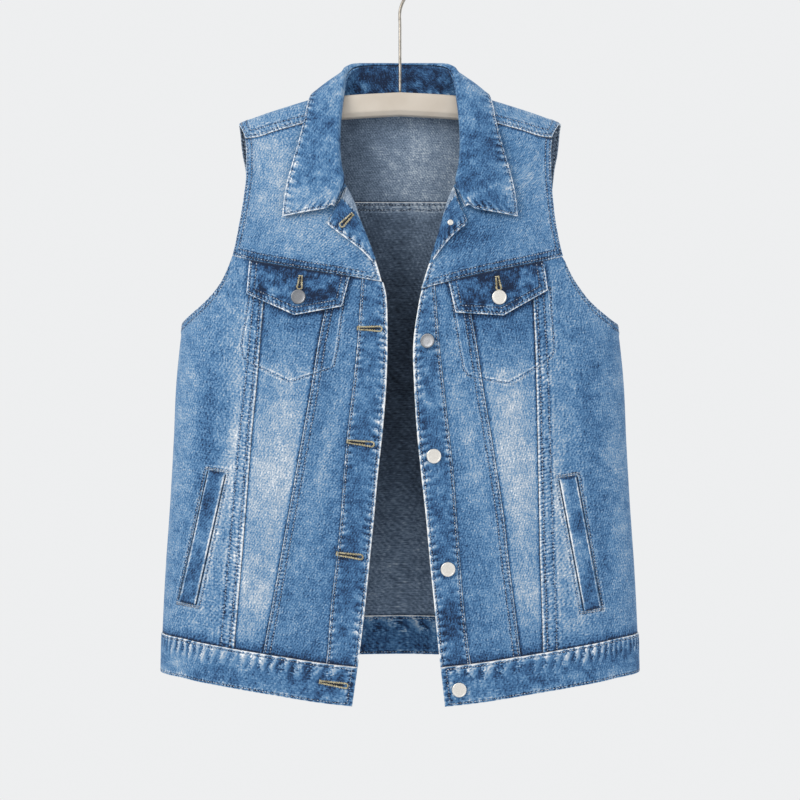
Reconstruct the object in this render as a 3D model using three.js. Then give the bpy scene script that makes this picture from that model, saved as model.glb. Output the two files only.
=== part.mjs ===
// A denim vest on a plain wooden hanger, in millimetres.
// +Z is up, the front faces -Y, and the origin is where the hook hangs on its rail.
// Sides are the wearer's: the right front is on -X. A drop is a distance down from the origin.
import * as THREE from 'three';
import { mergeVertices } from 'three/addons/utils/BufferGeometryUtils.js';

// Driving dimensions
const CLOTH = 1.4;            // one layer of heavy denim
const DOUBLED = 2.6;          // two layers sewn together: bands, collar, flaps
const SEAM_GAP = 0.3;         // between neighbouring pieces
const FELL_WIDTH = 11;        // a felled seam, stitched twice
const FELL_RISE = 0.8;        // how far its folded edges stand out of the cloth
const HEM_WIDTH = 10;         // the turned hem round an armhole
const WAISTBAND = 46;         // height of the waistband
const SHOULDER_RADIUS = 14;   // of the cloth where it passes over the hanger
const ROUNDING = 2.6;         // exponent of the body's cross-section: 2 is an ellipse
const SIDE_SEAM = 100;        // degrees round the body from the middle of the front
const BUTTON_RADIUS = 8.5;
const HOOK_RADIUS = 20;       // of the hook's centre line
const HOOK_WIRE = 1.75;       // radius of its wire

const RIGHT = -1;
const LEFT = 1;
const SIDES = [{ name: 'right', sign: RIGHT }, { name: 'left', sign: LEFT }];

// The body at each height: half its width, and how far its front and back stand from the hanger
const BODY = [
  { drop: 150, half: 224, front: 14, back: 14 },
  { drop: 215, half: 230, front: 22, back: 20 },
  { drop: 300, half: 238, front: 37, back: 28 },
  { drop: 370, half: 247, front: 44, back: 32 },
  { drop: 437, half: 256, front: 47.5, back: 34 },
  { drop: 496, half: 262, front: 48, back: 35 },
  { drop: 562, half: 265, front: 48, back: 36 },
  { drop: 633, half: 269, front: 48, back: 36 },
  { drop: 721, half: 275, front: 47, back: 36 },
  { drop: 809, half: 279, front: 46, back: 35 },
  { drop: 880, half: 280, front: 45, back: 34 },
];

// The shoulder line: the top of the cloth at each distance from the middle
const SHOULDER = [
  { x: 0, drop: 146 },
  { x: 60, drop: 151 },
  { x: 104, drop: 162.5 },
  { x: 132, drop: 171 },
  { x: 161, drop: 180.5 },
  { x: 185, drop: 190 },
  { x: 195, drop: 196 },
];

// The seam on the front where the back yoke ends
const SHOULDER_SEAM = [
  { x: 96, drop: 188 },
  { x: 117, drop: 194 },
  { x: 144, drop: 201.5 },
  { x: 165, drop: 208.5 },
  { x: 185, drop: 211 },
];

// The front armhole's edge, and the back armhole's
const ARMHOLE = [
  { drop: 188, right: 189, left: 187.5 },
  { drop: 209, right: 181, left: 178 },
  { drop: 242, right: 179, left: 176 },
  { drop: 270, right: 180.5, left: 177 },
  { drop: 308, right: 186, left: 180.5 },
  { drop: 348, right: 194, left: 188.5 },
  { drop: 372, right: 203.5, left: 199 },
  { drop: 387, right: 213, left: 209 },
  { drop: 400, right: 225, left: 219.5 },
  { drop: 412, right: 239, left: 233 },
  { drop: 424, right: 253, left: 249 },
];
const BACK_ARMHOLE = [
  { drop: 190, right: 189.5, left: 189.5 },
  { drop: 220, right: 187, left: 187 },
  { drop: 245, right: 183, left: 183 },
  { drop: 290, right: 181, left: 180 },
  { drop: 340, right: 187, left: 184 },
  { drop: 372, right: 200, left: 197 },
  { drop: 400, right: 222, left: 219 },
  { drop: 424, right: 250, left: 249 },
];
const ARMHOLE_END = 424;      // where the tables above meet the side
const UNDERARM = 431;         // drop of the side seam's top

// The seam under each front yoke
const YOKE_SEAM = [
  { x: 18, right: 380, left: 389.5 },
  { x: 57, right: 373, left: 378.5 },
  { x: 86, right: 368.5, left: 371.3 },
  { x: 115, right: 364, left: 365 },
  { x: 150, right: 358, left: 358 },
  { x: 175, right: 353, left: 352.5 },
  { x: 200, right: 346, left: 345 },
];
const BACK_YOKE_SEAM = 280;

// The inner edge of each front yoke: the neckline, and below 266 the fold of the lapel
const NECK = [
  { drop: 186, right: 99, left: 99 },
  { drop: 210, right: 94.5, left: 94.5 },
  { drop: 234, right: 86.5, left: 86.5 },
  { drop: 252, right: 76, left: 76 },
  { drop: 266, right: 63, left: 63 },
  { drop: 287, right: 52, left: 54 },
  { drop: 308, right: 46, left: 48.5 },
  { drop: 341, right: 33, left: 39 },
  { drop: 360, right: 26, left: 32.5 },
  { drop: 392, right: 17, left: 22.5 },
];

// Distance from the middle of each long seam: front edge, placket, inner and outer taper seams
const LONG_SEAMS = {
  right: [
    { drop: 340, edge: 34, placket: 41, inner: 75, outer: 154 },
    { drop: 380, edge: 19, placket: 44, inner: 80.5, outer: 156 },
    { drop: 400, edge: 15, placket: 45.5, inner: 84, outer: 157 },
    { drop: 450, edge: 14, placket: 49, inner: 94, outer: 161 },
    { drop: 500, edge: 15.5, placket: 54, inner: 102, outer: 165 },
    { drop: 550, edge: 19.5, placket: 60, inner: 111, outer: 170 },
    { drop: 600, edge: 25, placket: 64.5, inner: 120, outer: 174 },
    { drop: 650, edge: 29.5, placket: 68, inner: 129, outer: 178 },
    { drop: 700, edge: 34.5, placket: 73, inner: 138, outer: 182 },
    { drop: 750, edge: 39.5, placket: 79, inner: 147, outer: 186.5 },
    { drop: 820, edge: 48, placket: 84.5, inner: 160, outer: 193 },
    { drop: 870, edge: 55, placket: 90, inner: 168, outer: 198 },
  ],
  left: [
    { drop: 340, edge: 38, placket: 38, inner: 70, outer: 151.5 },
    { drop: 380, edge: 27, placket: 40, inner: 75.5, outer: 153 },
    { drop: 400, edge: 22, placket: 41.5, inner: 79, outer: 153.5 },
    { drop: 450, edge: 15, placket: 45, inner: 88, outer: 155.5 },
    { drop: 500, edge: 16, placket: 50.5, inner: 95.5, outer: 157 },
    { drop: 550, edge: 19, placket: 56, inner: 104, outer: 158 },
    { drop: 600, edge: 24, placket: 61.5, inner: 112, outer: 159 },
    { drop: 650, edge: 29.5, placket: 65, inner: 119.5, outer: 160 },
    { drop: 700, edge: 34, placket: 69, inner: 125, outer: 161 },
    { drop: 750, edge: 39, placket: 73, inner: 131.5, outer: 163 },
    { drop: 820, edge: 46, placket: 81, inner: 140, outer: 165 },
    { drop: 870, edge: 51.5, placket: 87, inner: 146, outer: 167 },
  ],
};

// The hem all round: lowest at the front edges, highest at the middle of the back
const HEM = [
  { turn: 4, drop: 869.5 },
  { turn: 14, drop: 863.5 },
  { turn: 26, drop: 855 },
  { turn: 40, drop: 847 },
  { turn: 51, drop: 842 },
  { turn: 64, drop: 837 },
  { turn: 90, drop: 833 },
  { turn: 135, drop: 825 },
  { turn: 180, drop: 819 },
];

// The largest folds: each stands out by rise over a soft width and length, and leans as it falls
const FOLDS = [
  { x: -214, drop: 560, width: 20, length: 130, lean: -0.1, rise: 2.6, front: true },
  { x: -238, drop: 700, width: 12, length: 90, lean: -0.1, rise: -2.2, front: true },
  { x: 210, drop: 540, width: 20, length: 120, lean: 0.12, rise: 2.4, front: true },
  { x: 240, drop: 690, width: 13, length: 100, lean: 0.05, rise: -2.2, front: true },
  { x: -70, drop: 560, width: 22, length: 150, lean: -0.1, rise: -2.2, front: true },
  { x: 74, drop: 570, width: 22, length: 150, lean: 0.1, rise: -2.2, front: true },
  { x: -150, drop: 300, width: 26, length: 60, lean: 0.3, rise: -2, front: true },
  { x: 148, drop: 300, width: 26, length: 60, lean: -0.3, rise: -2, front: true },
  { x: -150, drop: 560, width: 34, length: 190, lean: -0.05, rise: -2.5, front: false },
  { x: -60, drop: 640, width: 30, length: 200, lean: -0.04, rise: 2.5, front: false },
  { x: 48, drop: 600, width: 32, length: 200, lean: 0.03, rise: -2, front: false },
  { x: 140, drop: 620, width: 34, length: 190, lean: 0.06, rise: 2.5, front: false },
];

// The collar, from its front end round to the middle of the back. Ahead is towards the front.
const COLLAR = [
  { rollX: 76.5, rollAhead: 41, rollDrop: 293.5, edgeX: 136, edgeAhead: 37.5, edgeDrop: 303.5 },
  { rollX: 70, rollAhead: 41, rollDrop: 279, edgeX: 135, edgeAhead: 36.5, edgeDrop: 290 },
  { rollX: 63.5, rollAhead: 40, rollDrop: 265.5, edgeX: 133, edgeAhead: 35, edgeDrop: 275 },
  { rollX: 66.5, rollAhead: 38, rollDrop: 251, edgeX: 129.5, edgeAhead: 32, edgeDrop: 257 },
  { rollX: 68.5, rollAhead: 35, rollDrop: 229, edgeX: 123.5, edgeAhead: 28.5, edgeDrop: 235 },
  { rollX: 68.5, rollAhead: 30, rollDrop: 206, edgeX: 117, edgeAhead: 24.5, edgeDrop: 211 },
  { rollX: 67, rollAhead: 24, rollDrop: 183, edgeX: 111.5, edgeAhead: 21, edgeDrop: 188 },
  { rollX: 66, rollAhead: 19, rollDrop: 166, edgeX: 109, edgeAhead: 18.5, edgeDrop: 174 },
  { rollX: 64.5, rollAhead: 11, rollDrop: 147, edgeX: 106, edgeAhead: 12, edgeDrop: 162.5 },
  { rollX: 62.5, rollAhead: 0, rollDrop: 131, edgeX: 103.5, edgeAhead: -1, edgeDrop: 158 },
  { rollX: 54, rollAhead: -12, rollDrop: 119.5, edgeX: 93, edgeAhead: -18, edgeDrop: 165 },
  { rollX: 31, rollAhead: -21, rollDrop: 115.5, edgeX: 58, edgeAhead: -25.5, edgeDrop: 175 },
  { rollX: 0, rollAhead: -23, rollDrop: 115, edgeX: 0, edgeAhead: -27.5, edgeDrop: 178 },
];
const STAND = [
  { neckX: 66, neckAhead: 32.5, neckDrop: 262, topX: 64.5, topAhead: 35.5, topDrop: 258 },
  { neckX: 77, neckAhead: 29.5, neckDrop: 248, topX: 67, topAhead: 33.5, topDrop: 246 },
  { neckX: 85, neckAhead: 25.5, neckDrop: 232, topX: 68.8, topAhead: 31, topDrop: 228 },
  { neckX: 92, neckAhead: 20.5, neckDrop: 209, topX: 68.8, topAhead: 26, topDrop: 205 },
  { neckX: 96, neckAhead: 17, neckDrop: 189, topX: 67.4, topAhead: 20.5, topDrop: 183 },
  { neckX: 96.5, neckAhead: 14, neckDrop: 171, topX: 65.5, topAhead: 15.5, topDrop: 165 },
  { neckX: 96.5, neckAhead: 8, neckDrop: 162, topX: 63.3, topAhead: 8, topDrop: 148 },
  { neckX: 94.5, neckAhead: -1, neckDrop: 158.5, topX: 60.5, topAhead: -1, topDrop: 134 },
  { neckX: 84, neckAhead: -10, neckDrop: 159.5, topX: 51.5, topAhead: -10, topDrop: 123 },
  { neckX: 54, neckAhead: -14.5, neckDrop: 159, topX: 30, topAhead: -17.5, topDrop: 119 },
  { neckX: 0, neckAhead: -16, neckDrop: 158.5, topX: 0, topAhead: -19.5, topDrop: 118.5 },
];

// The lapels: each row runs from the fold to the free edge
const LAPEL = {
  right: [
    { rollX: 62.5, rollDrop: 268.5, edgeX: 75, edgeDrop: 296 },
    { rollX: 57.5, rollDrop: 277, edgeX: 83.5, edgeDrop: 311 },
    { rollX: 52, rollDrop: 288, edgeX: 76, edgeDrop: 319 },
    { rollX: 46, rollDrop: 307, edgeX: 61, edgeDrop: 330.5 },
    { rollX: 38, rollDrop: 327, edgeX: 46, edgeDrop: 342 },
    { rollX: 28, rollDrop: 354, edgeX: 31.5, edgeDrop: 356.5 },
  ],
  left: [
    { rollX: 62.5, rollDrop: 268.5, edgeX: 70, edgeDrop: 296 },
    { rollX: 57.5, rollDrop: 278, edgeX: 77, edgeDrop: 310.5 },
    { rollX: 54, rollDrop: 288, edgeX: 69, edgeDrop: 319 },
    { rollX: 49, rollDrop: 306, edgeX: 58, edgeDrop: 329 },
    { rollX: 43, rollDrop: 328, edgeX: 48, edgeDrop: 341 },
    { rollX: 35.5, rollDrop: 352, edgeX: 38.5, edgeDrop: 354.5 },
  ],
};

// The pocket flaps' lower edges, from the inner end to the outer
const FLAP = {
  right: [
    { x: 66.5, drop: 408 },
    { x: 121, drop: 418 },
    { x: 176.5, drop: 393 },
  ],
  left: [
    { x: 63.5, drop: 415 },
    { x: 118.5, drop: 418.5 },
    { x: 170, drop: 389 },
  ],
};
const FLAP_TOP = { right: { inner: 57.5, outer: 173.5 }, left: { inner: 55.5, outer: 165.5 } };

// The hand pockets' welts: the middle of each end
const WELT = {
  right: { topX: 211, topDrop: 598, bottomX: 246, bottomDrop: 751 },
  left: { topX: 193, topDrop: 604, bottomX: 222, bottomDrop: 757 },
};
const WELT_WIDTH = 19;

// Buttons, on the left placket and waistband and on the flaps
const PLACKET_BUTTONS = [
  { name: 'button_1', x: 32, drop: 447.5 },
  { name: 'button_2', x: 38.8, drop: 579.6 },
  { name: 'button_3', x: 55, drop: 709.5 },
  { name: 'button_waist', x: 68, drop: 848 },
];
const FLAP_BUTTONS = { right: { x: 116.6, drop: 396.8 }, left: { x: 113.8, drop: 397.4 } };
const LAPEL_BUTTON = { x: 58, drop: 311 };

// The hanger's bar: its top, height and half depth at each distance from the middle
const BAR = [
  { x: 0, top: 154, height: 27, depth: 10 },
  { x: 60, top: 157.5, height: 27, depth: 10 },
  { x: 104, top: 163.8, height: 25, depth: 9.5 },
  { x: 132, top: 172.3, height: 22, depth: 8.5 },
  { x: 161, top: 181.8, height: 18, depth: 7 },
  { x: 174, top: 187, height: 13, depth: 5 },
];

// Smooth reading of a table

function read(table, key, column, at) {
  const last = table.length - 1;
  let row = 0;
  while (row < last - 1 && at > table[row + 1][key]) row += 1;
  const slope = (n) => {
    const before = table[Math.max(n - 1, 0)];
    const after = table[Math.min(n + 1, last)];
    return (after[column] - before[column]) / (after[key] - before[key]);
  };
  const from = table[row];
  const to = table[row + 1];
  const span = to[key] - from[key];
  const t = (at - from[key]) / span;
  if (t < 0) return from[column] + (at - from[key]) * slope(0);
  if (t > 1) return to[column] + (at - to[key]) * slope(last);
  const t2 = t * t;
  const t3 = t2 * t;
  return (2 * t3 - 3 * t2 + 1) * from[column] + (t3 - 2 * t2 + t) * span * slope(row)
    + (3 * t2 - 2 * t3) * to[column] + (t3 - t2) * span * slope(row + 1);
}

const mix = THREE.MathUtils.lerp;
const rad = THREE.MathUtils.degToRad;

// The form of the cloth

function foldAt(x, drop, front) {
  let rise = 0;
  for (const fold of FOLDS) {
    if (fold.front !== front) continue;
    const across = (x - fold.x - fold.lean * (drop - fold.drop)) / fold.width;
    const along = (drop - fold.drop) / fold.length;
    rise += fold.rise * Math.exp(-across * across - along * along);
  }
  return rise;
}

// The angle round the body, in radians, at which the front or back reaches x
function turnTo(x, drop) {
  const share = Math.min(Math.abs(x) / read(BODY, 'drop', 'half', drop), 1);
  return Math.sign(x) * Math.asin(share ** (ROUNDING / 2));
}

function across(turn, drop) {
  const sine = Math.sin(turn);
  return Math.sign(sine) * Math.abs(sine) ** (2 / ROUNDING) * read(BODY, 'drop', 'half', drop);
}

// A point of the cloth's middle layer, turn round the body from the middle of the front
function onBody(turn, drop) {
  const x = across(turn, drop);
  const cosine = Math.cos(turn);
  const front = cosine > 0;
  const below = drop - read(SHOULDER, 'x', 'drop', Math.abs(x));
  const lift = 1 - Math.min(below / SHOULDER_RADIUS, 1);
  const arch = Math.sqrt(Math.max(1 - lift * lift, 0));
  const reach = Math.abs(cosine) ** (2 / ROUNDING) * arch;
  const depth = (read(BODY, 'drop', front ? 'front' : 'back', drop) + foldAt(x, drop, front)) * reach;
  return new THREE.Vector3(x, front ? -depth : depth, -drop);
}

// A point over the shoulder, run along the cloth from the shoulder line: front +, back -
function overShoulder(x, run) {
  const angle = Math.min(Math.abs(run) / SHOULDER_RADIUS, Math.PI / 2);
  const beyond = Math.max(Math.abs(run) - SHOULDER_RADIUS * Math.PI / 2, 0);
  const drop = read(SHOULDER, 'x', 'drop', Math.abs(x)) + SHOULDER_RADIUS * (1 - Math.cos(angle)) + beyond;
  const share = Math.min(Math.abs(x) / read(BODY, 'drop', 'half', drop), 1);
  const front = run > 0;
  const reach = (1 - share ** ROUNDING) ** (1 / ROUNDING) * Math.sin(angle);
  const depth = (read(BODY, 'drop', front ? 'front' : 'back', drop) + foldAt(x, drop, front)) * reach;
  return new THREE.Vector3(x, front ? -depth : depth, -drop);
}

// The run over the shoulder that reaches a drop
function runTo(x, drop) {
  const below = drop - read(SHOULDER, 'x', 'drop', Math.abs(x));
  if (below > SHOULDER_RADIUS) return below + SHOULDER_RADIUS * (Math.PI / 2 - 1);
  return SHOULDER_RADIUS * Math.acos(1 - below / SHOULDER_RADIUS);
}

// The way out of the cloth at a point of a surface made by place(u, v), v running down the front
function outward(place, u, v, du, dv) {
  const alongU = place(u + du, v).sub(place(u - du, v));
  const alongV = place(u, v + dv).sub(place(u, v - dv));
  return alongV.cross(alongU).normalize();
}

const STEP_TURN = 0.01;
const STEP_DROP = 1;

function bodyPoint(turn, drop, out = 0) {
  const normal = outward(onBody, turn, drop, STEP_TURN, STEP_DROP);
  return { point: onBody(turn, drop).addScaledVector(normal, out), normal };
}

function frontPoint(x, drop, out = 0) {
  return bodyPoint(turnTo(x, drop), drop, out);
}

// Closed walls from a grid of points, columns to the viewer's right and rows down.
// A column may be shorter than its neighbours: its missing points leave that part open.

function wall(grid, thickness) {
  const numbers = new Map();
  const points = [];
  grid.forEach((column, i) => column.forEach((spot, j) => {
    if (!spot) return;
    numbers.set(`${i},${j}`, points.length);
    points.push(spot);
  }));
  const positions = [];
  for (const side of [1, -1]) {
    for (const { point, normal, rise = 0 } of points) {
      const out = side > 0 ? thickness / 2 + rise : -thickness / 2;
      positions.push(...point.clone().addScaledVector(normal, out).toArray());
    }
  }
  const inner = points.length;
  const index = [];
  const edges = new Set();
  const quad = (a, b, c, d) => index.push(a, b, c, a, c, d);
  for (let i = 0; i < grid.length - 1; i += 1) {
    for (let j = 0; j < grid[i].length - 1; j += 1) {
      const places = [`${i},${j}`, `${i},${j + 1}`, `${i + 1},${j + 1}`, `${i + 1},${j}`];
      const corners = places.map((place) => numbers.get(place));
      if (corners.includes(undefined)) continue;
      quad(...corners);
      quad(...corners.map((n) => n + inner).reverse());
      corners.forEach((n, k) => edges.add(`${n},${corners[(k + 1) % 4]}`));
    }
  }
  for (const edge of edges) {
    const [a, b] = edge.split(',').map(Number);
    if (!edges.has(`${b},${a}`)) quad(b, a, a + inner, b + inner);
  }
  const geometry = new THREE.BufferGeometry();
  geometry.setAttribute('position', new THREE.Float32BufferAttribute(positions, 3));
  geometry.setIndex(index);
  return geometry;
}

// Stations along a length: a raised band at either end where asked, and even steps between
const BAND_FOOT = 1.5;
function stations(length, steps, startBand, endBand, knot = null) {
  const gap = SEAM_GAP / 2;
  const list = [{ at: gap, raised: startBand > 0 }];
  if (startBand) list.push({ at: startBand, raised: true });
  const from = startBand ? startBand + BAND_FOOT : gap;
  const to = endBand ? length - endBand - BAND_FOOT : length - gap;
  if (startBand) list.push({ at: from, raised: false });
  for (let n = 1; n < steps; n += 1) list.push({ at: mix(from, to, n / steps), raised: false });
  list.push({ at: to, raised: false });
  if (endBand) list.push({ at: length - endBand, raised: true }, { at: length - gap, raised: true });
  const shares = list.map(({ at, raised }) => ({ share: at / length, raised }));
  if (knot) shares[knot.column].share = knot.share;
  return shares;
}

// A panel between two seams: start and end give the turn at a drop, top and bottom the drop at a turn.
// A corner in its top edge, at cornerTurn, gets a column of its own.
function panel(spec) {
  const { start, end, top, bottom, columns, rows, bands = {}, thickness = CLOTH, out = 0 } = spec;
  const { startBand = 0, endBand = 0, topBand = 0, bottomBand = 0 } = bands;
  const corner = (seam, edge) => {
    let drop = edge(0.5);
    for (let n = 0; n < 12; n += 1) drop = edge(seam(drop));
    return drop;
  };
  const topStart = corner(start, top);
  const topEnd = corner(end, top);
  const bottomStart = corner(start, bottom);
  const bottomEnd = corner(end, bottom);
  const spot = (s, t) => {
    const dropStart = mix(topStart, bottomStart, t);
    const dropEnd = mix(topEnd, bottomEnd, t);
    const turn = mix(start(dropStart), end(dropEnd), s);
    const turnTop = mix(start(topStart), end(topEnd), s);
    const turnBottom = mix(start(bottomStart), end(bottomEnd), s);
    const bend = (1 - t) * (top(turnTop) - mix(topStart, topEnd, s))
      + t * (bottom(turnBottom) - mix(bottomStart, bottomEnd, s));
    return { turn, drop: mix(dropStart, dropEnd, s) + bend };
  };
  const lengthOf = (path) => {
    let length = 0;
    for (let n = 0; n < 12; n += 1) {
      const a = path(n / 12);
      const b = path((n + 1) / 12);
      length += onBody(a.turn, a.drop).distanceTo(onBody(b.turn, b.drop));
    }
    return length;
  };
  const rowShares = stations(lengthOf((t) => spot(0.5, t)), rows, topBand, bottomBand);
  let knot = null;
  if (spec.cornerTurn !== undefined) {
    const share = (spec.cornerTurn - start(topStart)) / (end(topEnd) - start(topStart));
    const even = stations(lengthOf((s) => spot(s, 0)), columns, startBand, endBand);
    const off = even.map((station) => Math.abs(station.share - share));
    knot = { column: off.indexOf(Math.min(...off)), share };
  }
  const across = rowShares.map(({ share }) => {
    return stations(lengthOf((s) => spot(s, share)), columns, startBand, endBand, knot);
  });
  const grid = across[0].map((_, i) => {
    const s = across[Math.floor(rowShares.length / 2)][i].share;
    const down = stations(lengthOf((t) => spot(s, t)), rows, topBand, bottomBand);
    return down.map(({ share, raised }, j) => {
      const { turn, drop } = spot(across[j][i].share, share);
      const rise = raised || across[j][i].raised ? FELL_RISE : 0;
      return { ...bodyPoint(turn, drop, out), rise };
    });
  });
  return wall(grid, thickness);
}

// Seams as functions of the turn or the drop, for one side

const hemAt = (turn) => read(HEM, 'turn', 'drop', THREE.MathUtils.radToDeg(Math.abs(turn)));
const waistSeamAt = (turn) => hemAt(turn) - WAISTBAND;

function byDistance(table, column) {
  return (turn) => {
    let drop = table[Math.floor(table.length / 2)][column];
    for (let n = 0; n < 8; n += 1) drop = read(table, 'x', column, Math.abs(across(turn, drop)));
    return drop;
  };
}

function longSeam({ name, sign }, column) {
  return (drop) => turnTo(sign * read(LONG_SEAMS[name], 'drop', column, drop), drop);
}

const SIDE_TURN = rad(SIDE_SEAM);

// The turn of an armhole's edge at a drop, from the shoulder to the side seam
function armholeTurn(table, { name, sign }, back) {
  return (drop) => {
    const onEdge = (d) => {
      const turn = Math.abs(turnTo(read(table, 'drop', name, d), d));
      return back ? Math.PI - turn : turn;
    };
    if (drop < ARMHOLE_END) return sign * onEdge(drop);
    const share = (drop - ARMHOLE_END) / (UNDERARM - ARMHOLE_END);
    return sign * mix(onEdge(ARMHOLE_END), SIDE_TURN, share);
  };
}

// The drop at which an armhole's edge passes a turn
function armholeDrop(edge, from) {
  return (turn) => {
    let low = from;
    let high = UNDERARM;
    const rising = Math.abs(edge(high)) > Math.abs(edge(low));
    for (let n = 0; n < 30; n += 1) {
      const middle = (low + high) / 2;
      if ((Math.abs(edge(middle)) < Math.abs(turn)) === rising) low = middle;
      else high = middle;
    }
    return (low + high) / 2;
  };
}

// Columns run to the viewer's right, so each pair of seams is taken in that order
function inOrder(sign, inner, outer) {
  return sign > 0 ? { start: inner, end: outer } : { start: outer, end: inner };
}

function bandsInOrder(sign, innerBand, outerBand, rest = {}) {
  const [startBand, endBand] = sign > 0 ? [innerBand, outerBand] : [outerBand, innerBand];
  return { startBand, endBand, ...rest };
}

// Cloth pieces of one front

function frontYoke(side) {
  const edge = armholeTurn(ARMHOLE, side, false);
  const neck = (drop) => turnTo(side.sign * read(NECK, 'drop', side.name, drop), drop);
  return panel({
    ...inOrder(side.sign, neck, edge),
    top: byDistance(SHOULDER_SEAM, 'drop'),
    bottom: byDistance(YOKE_SEAM, side.name),
    columns: 8,
    rows: 9,
    bands: bandsInOrder(side.sign, 0, HEM_WIDTH, { bottomBand: FELL_WIDTH }),
  });
}

function sidePanel(side) {
  const edge = armholeTurn(ARMHOLE, side, false);
  const yokeSeam = byDistance(YOKE_SEAM, side.name);
  const yokeEnd = 340;
  const edgeDrop = armholeDrop(edge, yokeEnd);
  let cornerDrop = yokeEnd;
  for (let n = 0; n < 12; n += 1) cornerDrop = yokeSeam(edge(cornerDrop));
  return panel({
    ...inOrder(side.sign, longSeam(side, 'outer'), () => side.sign * SIDE_TURN),
    top: (turn) => Math.max(yokeSeam(turn), edgeDrop(turn)),
    cornerTurn: edge(cornerDrop),
    bottom: waistSeamAt,
    columns: 11,
    rows: 14,
    bands: bandsInOrder(side.sign, FELL_WIDTH, 0, { topBand: HEM_WIDTH }),
  });
}

function longPanel(side, inner, outer, columns, bands) {
  return panel({
    ...inOrder(side.sign, longSeam(side, inner), longSeam(side, outer)),
    top: byDistance(YOKE_SEAM, side.name),
    bottom: waistSeamAt,
    columns,
    rows: 14,
    bands: bandsInOrder(side.sign, ...bands),
  });
}

const taperPanel = (side) => longPanel(side, 'inner', 'outer', 4, [0, 0]);
const frontPanel = (side) => longPanel(side, 'placket', 'inner', 3, [0, FELL_WIDTH]);

// A doubled band keeps its inner face level with the panels' and stands out of them
const BAND_OUT = (DOUBLED - CLOTH) / 2;

function placket(side) {
  return panel({
    ...inOrder(side.sign, longSeam(side, 'edge'), longSeam(side, 'placket')),
    top: byDistance(YOKE_SEAM, side.name),
    bottom: waistSeamAt,
    columns: 3,
    rows: 18,
    thickness: DOUBLED,
    out: BAND_OUT,
  });
}

function waistband(start, end, columns) {
  return panel({
    start, end, columns, top: waistSeamAt, bottom: hemAt, rows: 2, thickness: DOUBLED, out: BAND_OUT,
  });
}

function frontWaistband(side) {
  const { start, end } = inOrder(side.sign, longSeam(side, 'edge'), () => side.sign * SIDE_TURN);
  return waistband(start, end, 14);
}

// A piece that lies on the front: two rows of points, and how far out each lies
function laid(rowsOfPairs, across, outAt, sign, thickness) {
  const grid = rowsOfPairs.map(({ from, to }) => {
    const column = [];
    for (let n = 0; n <= across; n += 1) {
      const s = n / across;
      const x = mix(from.x, to.x, s);
      const drop = mix(from.drop, to.drop, s);
      column.push(frontPoint(sign * x, drop, outAt(x, drop, s)));
    }
    return column;
  });
  return wall(grid, thickness);
}

const FLAP_THICK = 2.2;
const FLAP_OUT = { top: 3.0, bottom: 4.4 };

function pocketFlap(side) {
  const { inner, outer } = FLAP_TOP[side.name];
  const points = FLAP[side.name];
  const columns = 10;
  const pairs = [];
  const [innerEnd, tip, outerEnd] = points;
  for (let n = 0; n <= columns; n += 1) {
    const share = n / columns;
    const low = share < 0.5
      ? { x: mix(innerEnd.x, tip.x, share * 2), drop: mix(innerEnd.drop, tip.drop, share * 2) }
      : { x: mix(tip.x, outerEnd.x, share * 2 - 1), drop: mix(tip.drop, outerEnd.drop, share * 2 - 1) };
    const x = mix(inner, outer, share);
    pairs.push({ from: { x, drop: read(YOKE_SEAM, 'x', side.name, x) + SEAM_GAP }, to: low });
  }
  if (side.sign < 0) pairs.reverse();
  const out = (x, drop, s) => mix(FLAP_OUT.top, FLAP_OUT.bottom, s);
  return laid(pairs, 4, out, side.sign, FLAP_THICK);
}

const WELT_THICK = 1.8;
const WELT_SLOPE = 2.2;        // how far each end of a welt rises to one side of its middle

function handWelt(side) {
  const { topX, topDrop, bottomX, bottomDrop } = WELT[side.name];
  const out = CLOTH / 2 + SEAM_GAP + WELT_THICK / 2;
  const pairs = [-1, 0, 1].map((n) => {
    const shift = n * side.sign * WELT_WIDTH / 2;
    const slope = n * side.sign * WELT_SLOPE;
    return {
      from: { x: topX + shift, drop: topDrop - slope },
      to: { x: bottomX + shift, drop: bottomDrop - slope },
    };
  });
  return laid(pairs, 8, () => out, side.sign, WELT_THICK);
}

// The lapel lies on its yoke and lifts over the button's cap
const LAPEL_OUT = 2.7;
const CAP_LIFT = 3.4;
const CAP_REACH = 16;

function lapelOut(x, drop) {
  const reach = Math.hypot(x - LAPEL_BUTTON.x, drop - LAPEL_BUTTON.drop);
  return LAPEL_OUT + CAP_LIFT * Math.exp(-((reach / CAP_REACH) ** 4));
}

function lapel(side) {
  const rows = LAPEL[side.name];
  const across = 5;
  const steps = 10;
  const grid = [];
  for (let i = 0; i <= across; i += 1) {
    const share = side.sign > 0 ? i / across : 1 - i / across;
    const column = [];
    for (let j = 0; j <= steps; j += 1) {
      const at = (j / steps) * (rows.length - 1);
      const n = Math.min(Math.floor(at), rows.length - 2);
      const t = at - n;
      const point = (xKey, dropKey) => ({
        x: mix(rows[n][xKey], rows[n + 1][xKey], t),
        drop: mix(rows[n][dropKey], rows[n + 1][dropKey], t),
      });
      const roll = point('rollX', 'rollDrop');
      const edge = point('edgeX', 'edgeDrop');
      const x = mix(roll.x, edge.x, share);
      const drop = mix(roll.drop, edge.drop, share);
      column.push(frontPoint(side.sign * x, drop, lapelOut(x, drop)));
    }
    grid.push(column);
  }
  return wall(grid, DOUBLED - SEAM_GAP);
}

// The back

const FULL_TURN = 2 * Math.PI;

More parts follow.
